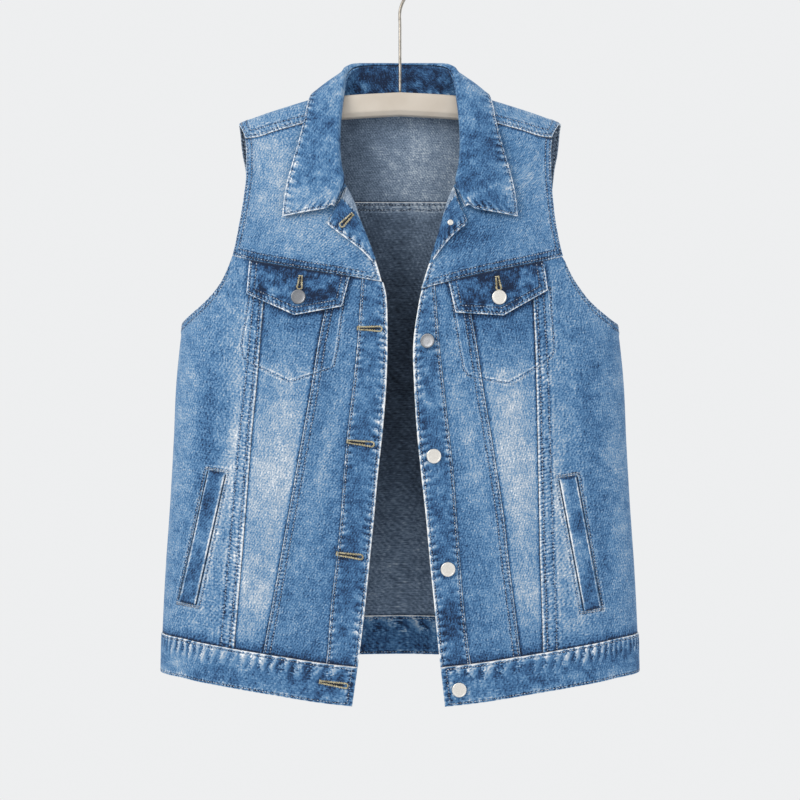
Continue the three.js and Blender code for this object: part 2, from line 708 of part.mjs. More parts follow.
function backPanel() {
  const top = (turn) => {
    const side = Math.sin(turn) > 0 ? SIDES[1] : SIDES[0];
    const reach = turn > Math.PI ? FULL_TURN - turn : turn;
    const edge = armholeTurn(BACK_ARMHOLE, { name: side.name, sign: 1 }, true);
    return Math.max(BACK_YOKE_SEAM, armholeDrop(edge, BACK_YOKE_SEAM)(reach));
  };
  return panel({
    start: () => SIDE_TURN,
    end: () => FULL_TURN - SIDE_TURN,
    top,
    bottom: (turn) => waistSeamAt(Math.min(turn, FULL_TURN - turn)),
    columns: 22,
    rows: 12,
    bands: { topBand: HEM_WIDTH },
  });
}

function backWaistband() {
  const around = (edge) => (turn) => edge(Math.min(turn, FULL_TURN - turn));
  return panel({
    start: () => SIDE_TURN,
    end: () => FULL_TURN - SIDE_TURN,
    top: around(waistSeamAt),
    bottom: around(hemAt),
    columns: 20,
    rows: 2,
    thickness: DOUBLED,
    out: BAND_OUT,
  });
}

// The back yoke: columns across the shoulders, each running from the back seam up to its end.
// The neckline cuts short the columns between the two neck sides.
const NECK_SIDE = 99;
const NECK_SIDE_RUN = -4;
const YOKE_HALF = 181;
const RIDGE_CROWDING = 1.6;   // draws the rows together towards the shoulder line
const NECK_CUT = [
  { x: 0, run: -24.5 },
  { x: 30, run: -24 },
  { x: 60, run: -20.5 },
  { x: 82, run: -14 },
  { x: 93, run: -8 },
];

function backYoke() {
  const shoulderSteps = 7;
  const backRows = 9;
  const frontRows = 6;
  const distances = [];
  for (let n = 0; n <= shoulderSteps; n += 1) distances.push(mix(YOKE_HALF, NECK_SIDE, n / shoulderSteps));
  distances.push(93, 82, 62, 40, 20);
  const seamRun = (x) => runTo(x, read(SHOULDER_SEAM, 'x', 'drop', x)) - SEAM_GAP / 2;
  const columnAt = (distance, sign) => {
    const side = sign > 0 ? 'left' : 'right';
    const onShoulder = distance >= NECK_SIDE;
    const bottom = -runTo(distance, BACK_YOKE_SEAM) + SEAM_GAP / 2;
    const ridge = onShoulder ? NECK_SIDE_RUN : read(NECK_CUT, 'x', 'run', distance);
    const end = seamRun(distance);
    const fell = end - FELL_WIDTH;
    const runs = [];
    for (let n = backRows; n >= 0; n -= 1) runs.push(mix(ridge, bottom, (n / backRows) ** RIDGE_CROWDING));
    const steps = frontRows - 2;
    for (let n = 1; n <= steps; n += 1) runs.push(mix(ridge, fell - BAND_FOOT, n / steps));
    runs.push(fell, end);
    return runs.map((run, row) => {
      if (!onShoulder && row > backRows) return null;
      const drop = Math.max(-overShoulder(distance, run).z, BACK_ARMHOLE[0].drop);
      const edge = read(run > 0 ? ARMHOLE : BACK_ARMHOLE, 'drop', side, drop);
      const spread = Math.max(distance - NECK_SIDE, 0) / (YOKE_HALF - NECK_SIDE);
      const x = sign * (distance + spread * (edge - YOKE_HALF));
      const raised = distance === YOKE_HALF || run >= fell;
      return {
        point: overShoulder(x, run),
        normal: outward(overShoulder, x, run, 1, 1),
        rise: raised ? FELL_RISE : 0,
      };
    });
  };
  const grid = distances.map((distance) => columnAt(distance, RIGHT));
  grid.push(columnAt(0, LEFT));
  grid.push(...distances.reverse().map((distance) => columnAt(distance, LEFT)));
  return wall(grid, CLOTH);
}

// The collar: columns from the right front end round the neck to the left one

function aroundNeck(table, inner, outer, { columns, rows, bulge }) {
  const line = (key) => {
    const along = (sign) => table.map((row) => {
      return new THREE.Vector3(sign * row[`${key}X`], -row[`${key}Ahead`], -row[`${key}Drop`]);
    });
    return new THREE.CatmullRomCurve3([...along(LEFT), ...along(RIGHT).reverse().slice(1)]);
  };
  const from = line(inner);
  const to = line(outer);
  const place = (u, v) => {
    const at = THREE.MathUtils.clamp(u, 0, 1);
    return from.getPoint(at).lerp(to.getPoint(at), v);
  };
  const grid = [];
  for (let i = 0; i <= columns; i += 1) {
    const column = [];
    for (let j = 0; j <= rows; j += 1) {
      const u = i / columns;
      const v = j / rows;
      const normal = outward(place, u, v, 0.5 / columns, 0.05);
      const point = place(u, v).addScaledVector(normal, bulge * Math.sin(Math.PI * v));
      column.push({ point, normal });
    }
    grid.push(column);
  }
  return grid;
}

const LEAF = { columns: 36, rows: 5, bulge: 2.5 };
const BAND = { columns: 32, rows: 3, bulge: 0 };
const collarLeaf = () => wall(aroundNeck(COLLAR, 'roll', 'edge', LEAF), DOUBLED);
const collarStand = () => wall(aroundNeck(STAND, 'top', 'neck', BAND), DOUBLED);

// Buttons: a domed cap with a rim on a short shank, its foot on the cloth

const CAP_PROFILE = [
  { r: 0, h: 0 },
  { r: 3, h: 0 },
  { r: 3, h: 1.2 },
  { r: BUTTON_RADIUS - 0.6, h: 1.2 },
  { r: BUTTON_RADIUS, h: 2 },
  { r: BUTTON_RADIUS - 0.7, h: 3.1 },
  { r: BUTTON_RADIUS - 2, h: 3.3 },
  { r: 0, h: 3.1 },
];
const TACK_PROFILE = [
  { r: 0, h: 0 },
  { r: 3.4, h: 0 },
  { r: 3, h: 0.9 },
  { r: 0, h: 1.3 },
];

function lathe(profile) {
  const points = profile.map(({ r, h }) => new THREE.Vector2(r, h));
  return new THREE.LatheGeometry(points, 16);
}

function seated(geometry, x, drop, out) {
  const { point, normal } = frontPoint(x, drop, out);
  const turned = new THREE.Quaternion().setFromUnitVectors(new THREE.Vector3(0, 1, 0), normal);
  return geometry.applyQuaternion(turned).translate(point.x, point.y, point.z);
}

// The hanger

function ringSolid(rings) {
  const count = rings[0].length;
  const positions = rings.flat().flatMap((p) => p.toArray());
  const index = [];
  for (let i = 0; i < rings.length - 1; i += 1) {
    for (let j = 0; j < count; j += 1) {
      const next = (j + 1) % count;
      const a = i * count + j;
      const b = i * count + next;
      index.push(a, b, b + count, a, b + count, a + count);
    }
  }
  for (let j = 1; j < count - 1; j += 1) {
    index.push(0, j + 1, j);
    const end = (rings.length - 1) * count;
    index.push(end, end + j, end + j + 1);
  }
  const geometry = new THREE.BufferGeometry();
  geometry.setAttribute('position', new THREE.Float32BufferAttribute(positions, 3));
  geometry.setIndex(index);
  return geometry;
}

const BAR_ROUNDING = 0.8;      // 1 is an ellipse, 0 a rectangle

function hangerBar() {
  const reach = BAR[BAR.length - 1].x;
  const steps = 20;
  const sides = 14;
  const rings = [];
  for (let i = 0; i <= steps; i += 1) {
    const x = mix(-reach, reach, i / steps);
    const top = read(BAR, 'x', 'top', Math.abs(x));
    const height = read(BAR, 'x', 'height', Math.abs(x));
    const depth = read(BAR, 'x', 'depth', Math.abs(x));
    const ring = [];
    for (let j = 0; j < sides; j += 1) {
      const angle = (j / sides) * FULL_TURN;
      const soft = (value) => Math.sign(value) * Math.abs(value) ** BAR_ROUNDING;
      const z = -top - height / 2 + soft(Math.sin(angle)) * height / 2;
      ring.push(new THREE.Vector3(x, soft(Math.cos(angle)) * depth, z));
    }
    rings.push(ring);
  }
  return ringSolid(rings);
}

const STEM_MIDDLE = 100;       // drops of the hook's straight stem and of its bend
const STEM_TOP = 58;
const BEND = { x: 4, drop: 46 };

function hangerHook() {
  const centre = -(HOOK_RADIUS - HOOK_WIRE);
  const foot = -(BAR[0].top - SEAM_GAP);
  const arc = (degrees) => new THREE.Vector3(
    HOOK_RADIUS * Math.cos(rad(degrees)), 0, centre + HOOK_RADIUS * Math.sin(rad(degrees)));
  const points = [new THREE.Vector3(0, 0, foot), new THREE.Vector3(0, 0, -STEM_MIDDLE)];
  points.push(new THREE.Vector3(0, 0, -STEM_TOP), new THREE.Vector3(BEND.x, 0, -BEND.drop));
  for (let degrees = -45; degrees <= 195; degrees += 20) points.push(arc(degrees));
  const path = new THREE.CatmullRomCurve3(points, false, 'centripetal');
  const section = new THREE.Shape();
  section.absarc(0, 0, HOOK_WIRE, 0, FULL_TURN);
  return new THREE.ExtrudeGeometry(section, {
    steps: 44, bevelEnabled: false, extrudePath: path, curveSegments: 4,
  });
}

// Materials

const denim = new THREE.MeshStandardMaterial({ color: 0x6f93bd, roughness: 0.92, metalness: 0 });
const darkDenim = new THREE.MeshStandardMaterial({ color: 0x3d659c, roughness: 0.92, metalness: 0 });
const silver = new THREE.MeshStandardMaterial({ color: 0xc9cacb, roughness: 0.35, metalness: 1 });
const wood = new THREE.MeshStandardMaterial({ color: 0xe3d8cc, roughness: 0.5, metalness: 0 });

const vest = new THREE.Group();

function add(name, geometry, material) {
  geometry.deleteAttribute('uv');
  geometry.deleteAttribute('normal');
  const mesh = new THREE.Mesh(mergeVertices(geometry, 1e-4), material);
  mesh.name = name;
  vest.add(mesh);
}

add('back_yoke', backYoke(), denim);
add('back_panel', backPanel(), denim);
add('waistband_back', backWaistband(), darkDenim);
add('collar_stand', collarStand(), denim);
add('collar_leaf', collarLeaf(), darkDenim);
for (const side of SIDES) {
  add(`front_yoke_${side.name}`, frontYoke(side), denim);
  add(`side_panel_${side.name}`, sidePanel(side), denim);
  add(`taper_panel_${side.name}`, taperPanel(side), denim);
  add(`front_panel_${side.name}`, frontPanel(side), denim);
  add(`placket_${side.name}`, placket(side), darkDenim);
  add(`waistband_${side.name}`, frontWaistband(side), darkDenim);
  add(`lapel_${side.name}`, lapel(side), darkDenim);
  add(`pocket_flap_${side.name}`, pocketFlap(side), darkDenim);
  add(`hand_welt_${side.name}`, handWelt(side), darkDenim);
  const { x, drop } = FLAP_BUTTONS[side.name];
  const flapFace = mix(FLAP_OUT.top, FLAP_OUT.bottom, 0.7) + FLAP_THICK / 2 + 2 * SEAM_GAP;
  add(`flap_button_${side.name}`, seated(lathe(CAP_PROFILE), side.sign * x, drop, flapFace), silver);
}
for (const { name, x, drop } of PLACKET_BUTTONS) {
  const face = BAND_OUT + DOUBLED / 2 + SEAM_GAP;
  add(name, seated(lathe(CAP_PROFILE), LEFT * x, drop, face), silver);
}
add('lapel_tack', seated(
  lathe(TACK_PROFILE), LAPEL_BUTTON.x, LAPEL_BUTTON.drop, LAPEL_OUT + CAP_LIFT + DOUBLED / 2), silver);
add('hanger_bar', hangerBar(), wood);
add('hanger_hook', hangerHook(), silver);

export default vest;
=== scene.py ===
"""A denim vest on a plain wooden hanger: the cloth, its seams and stitches, the buttons and the hanger."""

import math

import bmesh
import bpy
import numpy as np
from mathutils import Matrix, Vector
from mathutils.bvhtree import BVHTree


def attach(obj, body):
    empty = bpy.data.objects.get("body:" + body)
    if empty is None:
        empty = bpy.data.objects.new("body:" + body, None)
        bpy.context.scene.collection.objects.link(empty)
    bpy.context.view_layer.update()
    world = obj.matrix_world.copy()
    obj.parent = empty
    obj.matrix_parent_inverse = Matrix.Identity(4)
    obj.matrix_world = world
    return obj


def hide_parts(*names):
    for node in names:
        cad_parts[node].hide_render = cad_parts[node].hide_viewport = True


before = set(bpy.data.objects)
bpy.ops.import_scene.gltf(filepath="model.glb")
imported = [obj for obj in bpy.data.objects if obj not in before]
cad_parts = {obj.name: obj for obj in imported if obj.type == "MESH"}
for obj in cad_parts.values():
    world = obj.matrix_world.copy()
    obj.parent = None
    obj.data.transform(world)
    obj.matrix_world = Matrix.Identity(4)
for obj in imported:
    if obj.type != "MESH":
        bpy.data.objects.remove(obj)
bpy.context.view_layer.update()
MM = 0.001

# Sizes of the cloth, in millimetres. A drop is a distance down from the hook's seat.
CLOTH = 1.4
DOUBLED = 2.6
SEAM_GAP = 0.3
FELL_WIDTH = 11.6
FELL_RISE = 0.8
HEM_WIDTH = 11.2
WAISTBAND = 46.0
SHOULDER_RADIUS = 14.0
ROUNDING = 2.6
SIDE_TURN = math.radians(100)
BAND_OUT = (DOUBLED - CLOTH) / 2
RIGHT, LEFT = -1, 1
SIDES = (("right", RIGHT), ("left", LEFT))
FULL_TURN = 2 * math.pi


def table(names, *rows):
    """A table of sizes: one array for each named column."""
    return {name: np.array(column, float) for name, column in zip(names.split(), zip(*rows))}


# The body at each height: half its width, and how far its front and back stand from the hanger
BODY = table(
    "drop half front back",
    (150, 224, 14, 14), (215, 230, 22, 20), (300, 238, 37, 28), (370, 247, 44, 32),
    (437, 256, 47.5, 34), (496, 262, 48, 35), (562, 265, 48, 36), (633, 269, 48, 36),
    (721, 275, 47, 36), (809, 279, 46, 35), (880, 280, 45, 34),
)
SHOULDER = table(
    "x drop", (0, 146), (60, 151), (104, 162.5), (132, 171), (161, 180.5), (185, 190), (195, 196),
)
SHOULDER_SEAM = table("x drop", (96, 188), (117, 194), (144, 201.5), (165, 208.5), (185, 211))
ARMHOLE = table(
    "drop right left",
    (188, 189, 187.5), (209, 181, 178), (242, 179, 176), (270, 180.5, 177), (308, 186, 180.5),
    (348, 194, 188.5), (372, 203.5, 199), (387, 213, 209), (400, 225, 219.5), (412, 239, 233),
    (424, 253, 249),
)
BACK_ARMHOLE = table(
    "drop right left",
    (190, 189.5, 189.5), (220, 187, 187), (245, 183, 183), (290, 181, 180), (340, 187, 184),
    (372, 200, 197), (400, 222, 219), (424, 250, 249),
)
ARMHOLE_END = 424.0
UNDERARM = 431.0
YOKE_SEAM = table(
    "x right left",
    (18, 380, 389.5), (57, 373, 378.5), (86, 368.5, 371.3), (115, 364, 365), (150, 358, 358),
    (175, 353, 352.5), (200, 346, 345),
)
BACK_YOKE_SEAM = 280.0
NECK = table(
    "drop right left",
    (186, 99, 99), (210, 94.5, 94.5), (234, 86.5, 86.5), (252, 76, 76), (266, 63, 63),
    (287, 52, 54), (308, 46, 48.5), (341, 33, 39), (360, 26, 32.5), (392, 17, 22.5),
)
LONG_SEAMS = {
    "right": table(
        "drop edge placket inner outer",
        (340, 34, 41, 75, 154), (380, 19, 44, 80.5, 156), (400, 15, 45.5, 84, 157),
        (450, 14, 49, 94, 161), (500, 15.5, 54, 102, 165), (550, 19.5, 60, 111, 170),
        (600, 25, 64.5, 120, 174), (650, 29.5, 68, 129, 178), (700, 34.5, 73, 138, 182),
        (750, 39.5, 79, 147, 186.5), (820, 48, 84.5, 160, 193), (870, 55, 90, 168, 198),
    ),
    "left": table(
        "drop edge placket inner outer",
        (340, 38, 38, 70, 151.5), (380, 27, 40, 75.5, 153), (400, 22, 41.5, 79, 153.5),
        (450, 15, 45, 88, 155.5), (500, 16, 50.5, 95.5, 157), (550, 19, 56, 104, 158),
        (600, 24, 61.5, 112, 159), (650, 29.5, 65, 119.5, 160), (700, 34, 69, 125, 161),
        (750, 39, 73, 131.5, 163), (820, 46, 81, 140, 165), (870, 51.5, 87, 146, 167),
    ),
}
HEM = table(
    "turn drop",
    (4, 869.5), (14, 863.5), (26, 855), (40, 847), (51, 842), (64, 837), (90, 833), (135, 825),
    (180, 819),
)

# Folds and creases: place, soft width and length, lean as they fall, rise, and front 1 or back 0
FOLDS = table(
    "x drop width length lean rise front",
    (-214, 560, 20, 130, -0.1, 2.6, 1), (-238, 700, 12, 90, -0.1, -2.2, 1),
    (210, 540, 20, 120, 0.12, 2.4, 1), (240, 690, 13, 100, 0.05, -2.2, 1),
    (-70, 560, 22, 150, -0.1, -2.2, 1), (74, 570, 22, 150, 0.1, -2.2, 1),
    (-150, 300, 26, 60, 0.3, -2, 1), (148, 300, 26, 60, -0.3, -2, 1),
    (-150, 560, 34, 190, -0.05, -2.5, 0), (-60, 640, 30, 200, -0.04, 2.5, 0),
    (48, 600, 32, 200, 0.03, -2, 0), (140, 620, 34, 190, 0.06, 2.5, 0),
)
CREASES = table(
    "x drop width length lean rise front",
    (-222, 470, 6, 30, 0.5, 0.8, 1), (-206, 455, 5, 26, 0.7, -0.7, 1), (-236, 520, 7, 45, 0.1, 0.9, 1),
    (-198, 520, 6, 50, -0.15, -0.7, 1), (-232, 610, 6, 40, -0.2, 0.8, 1), (-207, 760, 7, 26, 0.6, 0.8, 1),
    (-178, 745, 6, 24, -0.5, -0.7, 1), (-140, 600, 8, 90, -0.22, 0.8, 1), (-150, 700, 7, 60, -0.25, -0.8, 1),
    (-118, 740, 6, 50, -0.2, 0.8, 1), (-100, 520, 5, 60, -0.2, 0.6, 1), (-96, 740, 6, 40, -0.3, 0.7, 1),
    (-60, 420, 5, 22, 0.9, 0.7, 1), (-152, 240, 7, 30, 0.4, 0.8, 1), (-120, 330, 8, 24, -0.8, 0.7, 1),
    (-165, 320, 6, 26, 0.7, -0.7, 1), (220, 468, 6, 30, -0.5, 0.8, 1), (204, 450, 5, 24, -0.8, -0.7, 1),
    (232, 540, 7, 46, 0.1, 0.9, 1), (196, 520, 6, 46, 0.1, -0.7, 1), (240, 640, 6, 40, 0.2, 0.8, 1),
    (196, 765, 7, 26, -0.6, 0.8, 1), (178, 700, 6, 60, 0.05, -0.6, 1), (136, 600, 8, 90, 0.2, 0.8, 1),
    (140, 710, 7, 60, 0.15, -0.8, 1), (104, 740, 6, 50, 0.25, 0.8, 1), (100, 520, 5, 60, 0.2, 0.6, 1),
    (88, 660, 6, 60, 0.2, -0.6, 1), (58, 430, 5, 22, -0.9, 0.7, 1), (150, 240, 7, 30, -0.4, 0.8, 1),
    (118, 330, 8, 24, 0.8, 0.7, 1), (160, 322, 6, 26, -0.7, -0.7, 1), (-224, 480, 7, 34, 0.5, 0.9, 0),
    (-200, 520, 8, 60, 0.2, -0.8, 0), (-110, 360, 10, 44, 0.4, 0.8, 0), (-30, 420, 10, 90, 0.1, -0.8, 0),
    (60, 380, 9, 60, -0.2, 0.8, 0), (206, 500, 7, 50, -0.3, 0.9, 0), (120, 720, 8, 50, 0.3, -0.8, 0),
    (-90, 740, 8, 40, -0.4, 0.8, 0), (10, 740, 9, 44, 0.2, 0.8, 0), (-190, 700, 8, 60, 0.1, 0.8, 0),
    (-60, 230, 12, 30, 0.5, 0.8, 0), (70, 240, 12, 30, -0.5, 0.8, 0),
)

# The collar, from its front end round to the middle of the back. Ahead is towards the front.
COLLAR = table(
    "roll_x roll_ahead roll_drop edge_x edge_ahead edge_drop",
    (76.5, 41, 293.5, 136, 37.5, 303.5), (70, 41, 279, 135, 36.5, 290), (63.5, 40, 265.5, 133, 35, 275),
    (66.5, 38, 251, 129.5, 32, 257), (68.5, 35, 229, 123.5, 28.5, 235), (68.5, 30, 206, 117, 24.5, 211),
    (67, 24, 183, 111.5, 21, 188), (66, 19, 166, 109, 18.5, 174), (64.5, 11, 147, 106, 12, 162.5),
    (62.5, 0, 131, 103.5, -1, 158), (54, -12, 119.5, 93, -18, 165), (31, -21, 115.5, 58, -25.5, 175),
    (0, -23, 115, 0, -27.5, 178),
)
STAND = table(
    "neck_x neck_ahead neck_drop top_x top_ahead top_drop",
    (75.5, 40.3, 293, 76, 40.6, 293.2), (69, 40.3, 278.5, 69.5, 40.6, 278.7),
    (66, 32.5, 262, 64.5, 35.5, 260), (77, 29.5, 248, 67, 33.5, 247),
    (85, 25.5, 232, 68.8, 31, 228), (92, 20.5, 209, 68.8, 26, 205),
    (96, 17, 189, 67.4, 20.5, 183), (96.5, 14, 171, 65.5, 15.5, 165), (96.5, 8, 162, 63.3, 8, 148),
    (94.5, -1, 158.5, 60.5, -1, 134), (84, -10, 159.5, 51.5, -10, 123), (54, -14.5, 159, 30, -17.5, 119),
    (0, -16, 158.5, 0, -19.5, 118.5),
)
LAPEL = {
    "right": table(
        "roll_x roll_drop edge_x edge_drop",
        (62.5, 268.5, 75, 296), (57.5, 277, 83.5, 311), (52, 288, 76, 319), (46, 307, 61, 330.5),
        (38, 327, 46, 342), (28, 354, 31.5, 356.5),
    ),
    "left": table(
        "roll_x roll_drop edge_x edge_drop",
        (62.5, 268.5, 70, 296), (57.5, 278, 77, 310.5), (54, 288, 69, 319), (49, 306, 58, 329),
        (43, 328, 48, 341), (35.5, 352, 38.5, 354.5),
    ),
}
FLAP = {
    "right": table("top low drop", (57.5, 66.5, 408), (115.5, 121, 418), (173.5, 176.5, 393)),
    "left": table("top low drop", (55.5, 63.5, 415), (110.5, 118.5, 418.5), (165.5, 170, 389)),
}
FLAP_THICK = 2.2
FLAP_OUT = (3.0, 4.4)
WELT = {
    "right": {"top": (211, 598), "bottom": (246, 751)},
    "left": {"top": (193, 604), "bottom": (222, 757)},
}
WELT_WIDTH = 19.0
WELT_THICK = 1.8
WELT_SLOPE = 2.2
LAPEL_OUT = 2.7
LAPEL_END = 0.84        # share of the neck's edge at which the lapel has run out
CAP_LIFT = 3.4
LAPEL_BUTTON = (58.0, 311.0)
PLACKET_BUTTONS = {
    "button_1": (32, 447.5), "button_2": (38.8, 579.6), "button_3": (55, 709.5), "button_waist": (68, 848),
}
FLAP_BUTTONS = {"right": (116.6, 396.8), "left": (113.8, 397.4)}
BAR = table(
    "x top height depth",
    (0, 154, 27, 10), (60, 157.5, 27, 10), (104, 163.8, 25, 9.5), (132, 172.3, 22, 8.5),
    (161, 181.8, 18, 7), (174, 187, 13, 5),
)
# Half the bar's section from its top to its underside, in shares: its lower edges are bevelled
BAR_SECTION = table(
    "over up", (0, 1), (0.5, 0.99), (0.85, 0.92), (0.98, 0.78), (1, 0.6), (1, -0.54), (0.97, -0.62),
    (0.6, -0.96), (0.45, -1), (0, -1),
)
HOOK_RADIUS = 20.0
HOOK_WIRE = 1.75

# The chest pockets' stitched outlines; the flaps hide their tops
POCKET = {
    "right": ((-172, 385), (-183, 452), (-181, 464), (-176, 471), (-158.7, 479), (-127.7, 494.5),
              (-99.5, 485.3), (-76, 477), (-71.5, 455), (-64, 395)),
    "left": ((60, 400), (67.9, 452), (72.5, 478.4), (78.8, 488.8), (97.8, 492.2), (116.2, 494.5),
             (130, 497.4), (142.6, 488.2), (154.1, 479.6), (167.6, 472.3), (176, 464.6),
             (177.7, 454.3), (173, 385)),
}
WELT_BORDER = 4.2       # the stitches run this far outside each welt
WELT_ENDS = 3.4         # and this far beyond its ends
BUTTONHOLES = (
    ((-48.9, 432.7), (-20.7, 433.6)), ((-60.5, 562.7), (-29.7, 566.3)), ((-73.1, 691.7), (-42.6, 695.8)),
    ((-92.5, 839), (-59.8, 844.1)), ((-114.2, 372.3), (-115.6, 388)), ((111.6, 373.2), (113.9, 389)),
    ((-54.5, 301), (-68.5, 315.5)),
)


def welt_corners(side, sign, wider=0.0, longer=0.0):
    """A welt's corners in order, or those of an outline round it."""
    (top_x, top_drop), (low_x, low_drop) = WELT[side]["top"], WELT[side]["bottom"]
    half = WELT_WIDTH / 2 + wider
    corners = []
    for x, drop, end in ((top_x, top_drop, -1), (low_x, low_drop, 1)):
        pair = [(sign * x + to * half, drop + end * longer - sign * to * WELT_SLOPE) for to in (-1, 1)]
        corners.extend(pair if end < 0 else pair[::-1])
    return corners


def welt_border(side, sign):
    return welt_corners(side, sign, WELT_BORDER, WELT_ENDS)


OUTLINES = [POCKET[side] for side, _ in SIDES] + [welt_border(side, sign) for side, sign in SIDES]

# The photograph's view: 1.15 mm a pixel at the vest's front, 2 m from the camera
PIXEL = 1.15
CAMERA_REACH = 2000.0
FRONT_PLANE = 45.0
PICTURE = 800
PICTURE_MIDDLE = 515.2
SENSOR = 36.0


# Reading a table smoothly

def read(rows, key, column, at):
    keys, values = rows[key], rows[column]
    last = len(keys) - 1
    before = np.maximum(np.arange(last + 1) - 1, 0)
    after = np.minimum(np.arange(last + 1) + 1, last)
    slope = (values[after] - values[before]) / (keys[after] - keys[before])
    at = np.asarray(at, float)
    row = np.clip(np.searchsorted(keys, at) - 1, 0, last - 1)
    span = keys[row + 1] - keys[row]
    t = (at - keys[row]) / span
    t2, t3 = t * t, t * t * t
    inside = ((2 * t3 - 3 * t2 + 1) * values[row] + (t3 - 2 * t2 + t) * span * slope[row]
              + (3 * t2 - 2 * t3) * values[row + 1] + (t3 - t2) * span * slope[row + 1])
    below = values[row] + (at - keys[row]) * slope[0]
    above = values[row + 1] + (at - keys[row + 1]) * slope[last]
    return np.where(t < 0, below, np.where(t > 1, above, inside))


def mix(a, b, share):
    return a + (b - a) * share


def ease(low, high, value):
    t = np.clip((value - low) / (high - low), 0, 1)
    return t * t * (3 - 2 * t)


def both(a, b):
    return np.broadcast_arrays(np.asarray(a, float), np.asarray(b, float))


def run_along(points):
    """The distance along a line of points, at each of them."""
    return np.concatenate([[0], np.cumsum(np.linalg.norm(np.diff(points, axis=0), axis=1))])


# The form of the cloth

def fold_at(rows, x, drop, front):
    rise = np.zeros_like(x)
    for n in range(len(rows["x"])):
        row = {name: column[n] for name, column in rows.items()}
        across_it = (x - row["x"] - row["lean"] * (drop - row["drop"])) / row["width"]
        along_it = (drop - row["drop"]) / row["length"]
        shape = row["rise"] * np.exp(-across_it ** 2 - along_it ** 2)
        rise = rise + np.where(front == (row["front"] == 1), shape, 0)
    return rise


def turn_to(x, drop):
    share = np.minimum(np.abs(x) / read(BODY, "drop", "half", drop), 1)
    return np.sign(x) * np.arcsin(share ** (ROUNDING / 2))


def across(turn, drop):
    sine = np.sin(turn)
    return np.sign(sine) * np.abs(sine) ** (2 / ROUNDING) * read(BODY, "drop", "half", drop)


def depth_at(x, drop, front):
    return np.where(front, read(BODY, "drop", "front", drop), read(BODY, "drop", "back", drop)) + (
        fold_at(FOLDS, x, drop, front))


def on_body(turn, drop):
    turn, drop = both(turn, drop)
    x = across(turn, drop)
    cosine = np.cos(turn)
    front = cosine > 0
    below = drop - read(SHOULDER, "x", "drop", np.abs(x))
    lift = 1 - np.minimum(below / SHOULDER_RADIUS, 1)
    arch = np.sqrt(np.maximum(1 - lift * lift, 0))
    depth = depth_at(x, drop, front) * np.abs(cosine) ** (2 / ROUNDING) * arch
    return np.stack([x, np.where(front, -depth, depth), -drop], -1)


def over_shoulder(x, run):
    x, run = both(x, run)
    angle = np.minimum(np.abs(run) / SHOULDER_RADIUS, math.pi / 2)
    beyond = np.maximum(np.abs(run) - SHOULDER_RADIUS * math.pi / 2, 0)
    drop = read(SHOULDER, "x", "drop", np.abs(x)) + SHOULDER_RADIUS * (1 - np.cos(angle)) + beyond
    share = np.minimum(np.abs(x) / read(BODY, "drop", "half", drop), 1)
    front = run > 0
    depth = depth_at(x, drop, front) * (1 - share ** ROUNDING) ** (1 / ROUNDING) * np.sin(angle)
    return np.stack([x, np.where(front, -depth, depth), -drop], -1)


def run_to(x, drop):
    below = drop - read(SHOULDER, "x", "drop", np.abs(x))
    share = np.clip(1 - below / SHOULDER_RADIUS, -1, 1)
    curved = SHOULDER_RADIUS * np.arccos(share)
    return np.where(below > SHOULDER_RADIUS, below + SHOULDER_RADIUS * (math.pi / 2 - 1), curved)


def outward(place, u, v, du, dv):
    normal = np.cross(place(u, v + dv) - place(u, v - dv), place(u + du, v) - place(u - du, v))
    return normal / np.maximum(np.linalg.norm(normal, axis=-1, keepdims=True), 1e-12)


# Seams, as functions of the turn or the drop

def hem_at(turn):
    around = np.abs(turn)
    return read(HEM, "turn", "drop", np.degrees(np.minimum(around, FULL_TURN - around)))


def waist_seam(turn):
    return hem_at(turn) - WAISTBAND


def by_distance(rows, column):
    def seam(turn):
        drop = np.full_like(np.asarray(turn, float), rows[column][len(rows[column]) // 2])
        for _ in range(8):
            drop = read(rows, "x", column, np.abs(across(turn, drop)))
        return drop
    return seam


def long_seam(side, sign, column):
    return lambda drop: turn_to(sign * read(LONG_SEAMS[side], "drop", column, drop), drop)


def armhole_turn(rows, side, sign, back):
    def on_edge(drop):
        turn = np.abs(turn_to(read(rows, "drop", side, drop), drop))
        return math.pi - turn if back else turn

    def edge(drop):
        drop = np.asarray(drop, float)
        share = np.clip((drop - ARMHOLE_END) / (UNDERARM - ARMHOLE_END), 0, 1)
        low = on_edge(np.minimum(drop, ARMHOLE_END))
        return sign * np.where(drop < ARMHOLE_END, low, mix(low, SIDE_TURN, share))
    return edge


def armhole_drop(edge, start):
    def drop_at(turn):
        turn = np.abs(np.asarray(turn, float))
        low, high = np.full_like(turn, start), np.full_like(turn, UNDERARM)
        rising = abs(float(edge(UNDERARM))) > abs(float(edge(start)))
        for _ in range(24):
            middle = (low + high) / 2
            short = (np.abs(edge(middle)) < turn) == rising
            low, high = np.where(short, middle, low), np.where(short, high, middle)
        return (low + high) / 2
    return drop_at


def flap_corners(side, sign):
    rows = FLAP[side]
    top_drop = read(YOKE_SEAM, "x", side, rows["top"])
    tops = [(sign * rows["top"][n], top_drop[n]) for n in (0, 2)]
    return tops + [(sign * rows["low"][n], rows["drop"][n]) for n in (2, 1, 0)]


# What lies over the cloth, and how far round it the cloth is darkened: painted shadow of the flaps and welts
SHADOW_CASTERS = [(flap_corners(side, sign), 8.0) for side, sign in SIDES]
SHADOW_CASTERS += [(welt_corners(side, sign), 1.9) for side, sign in SIDES]
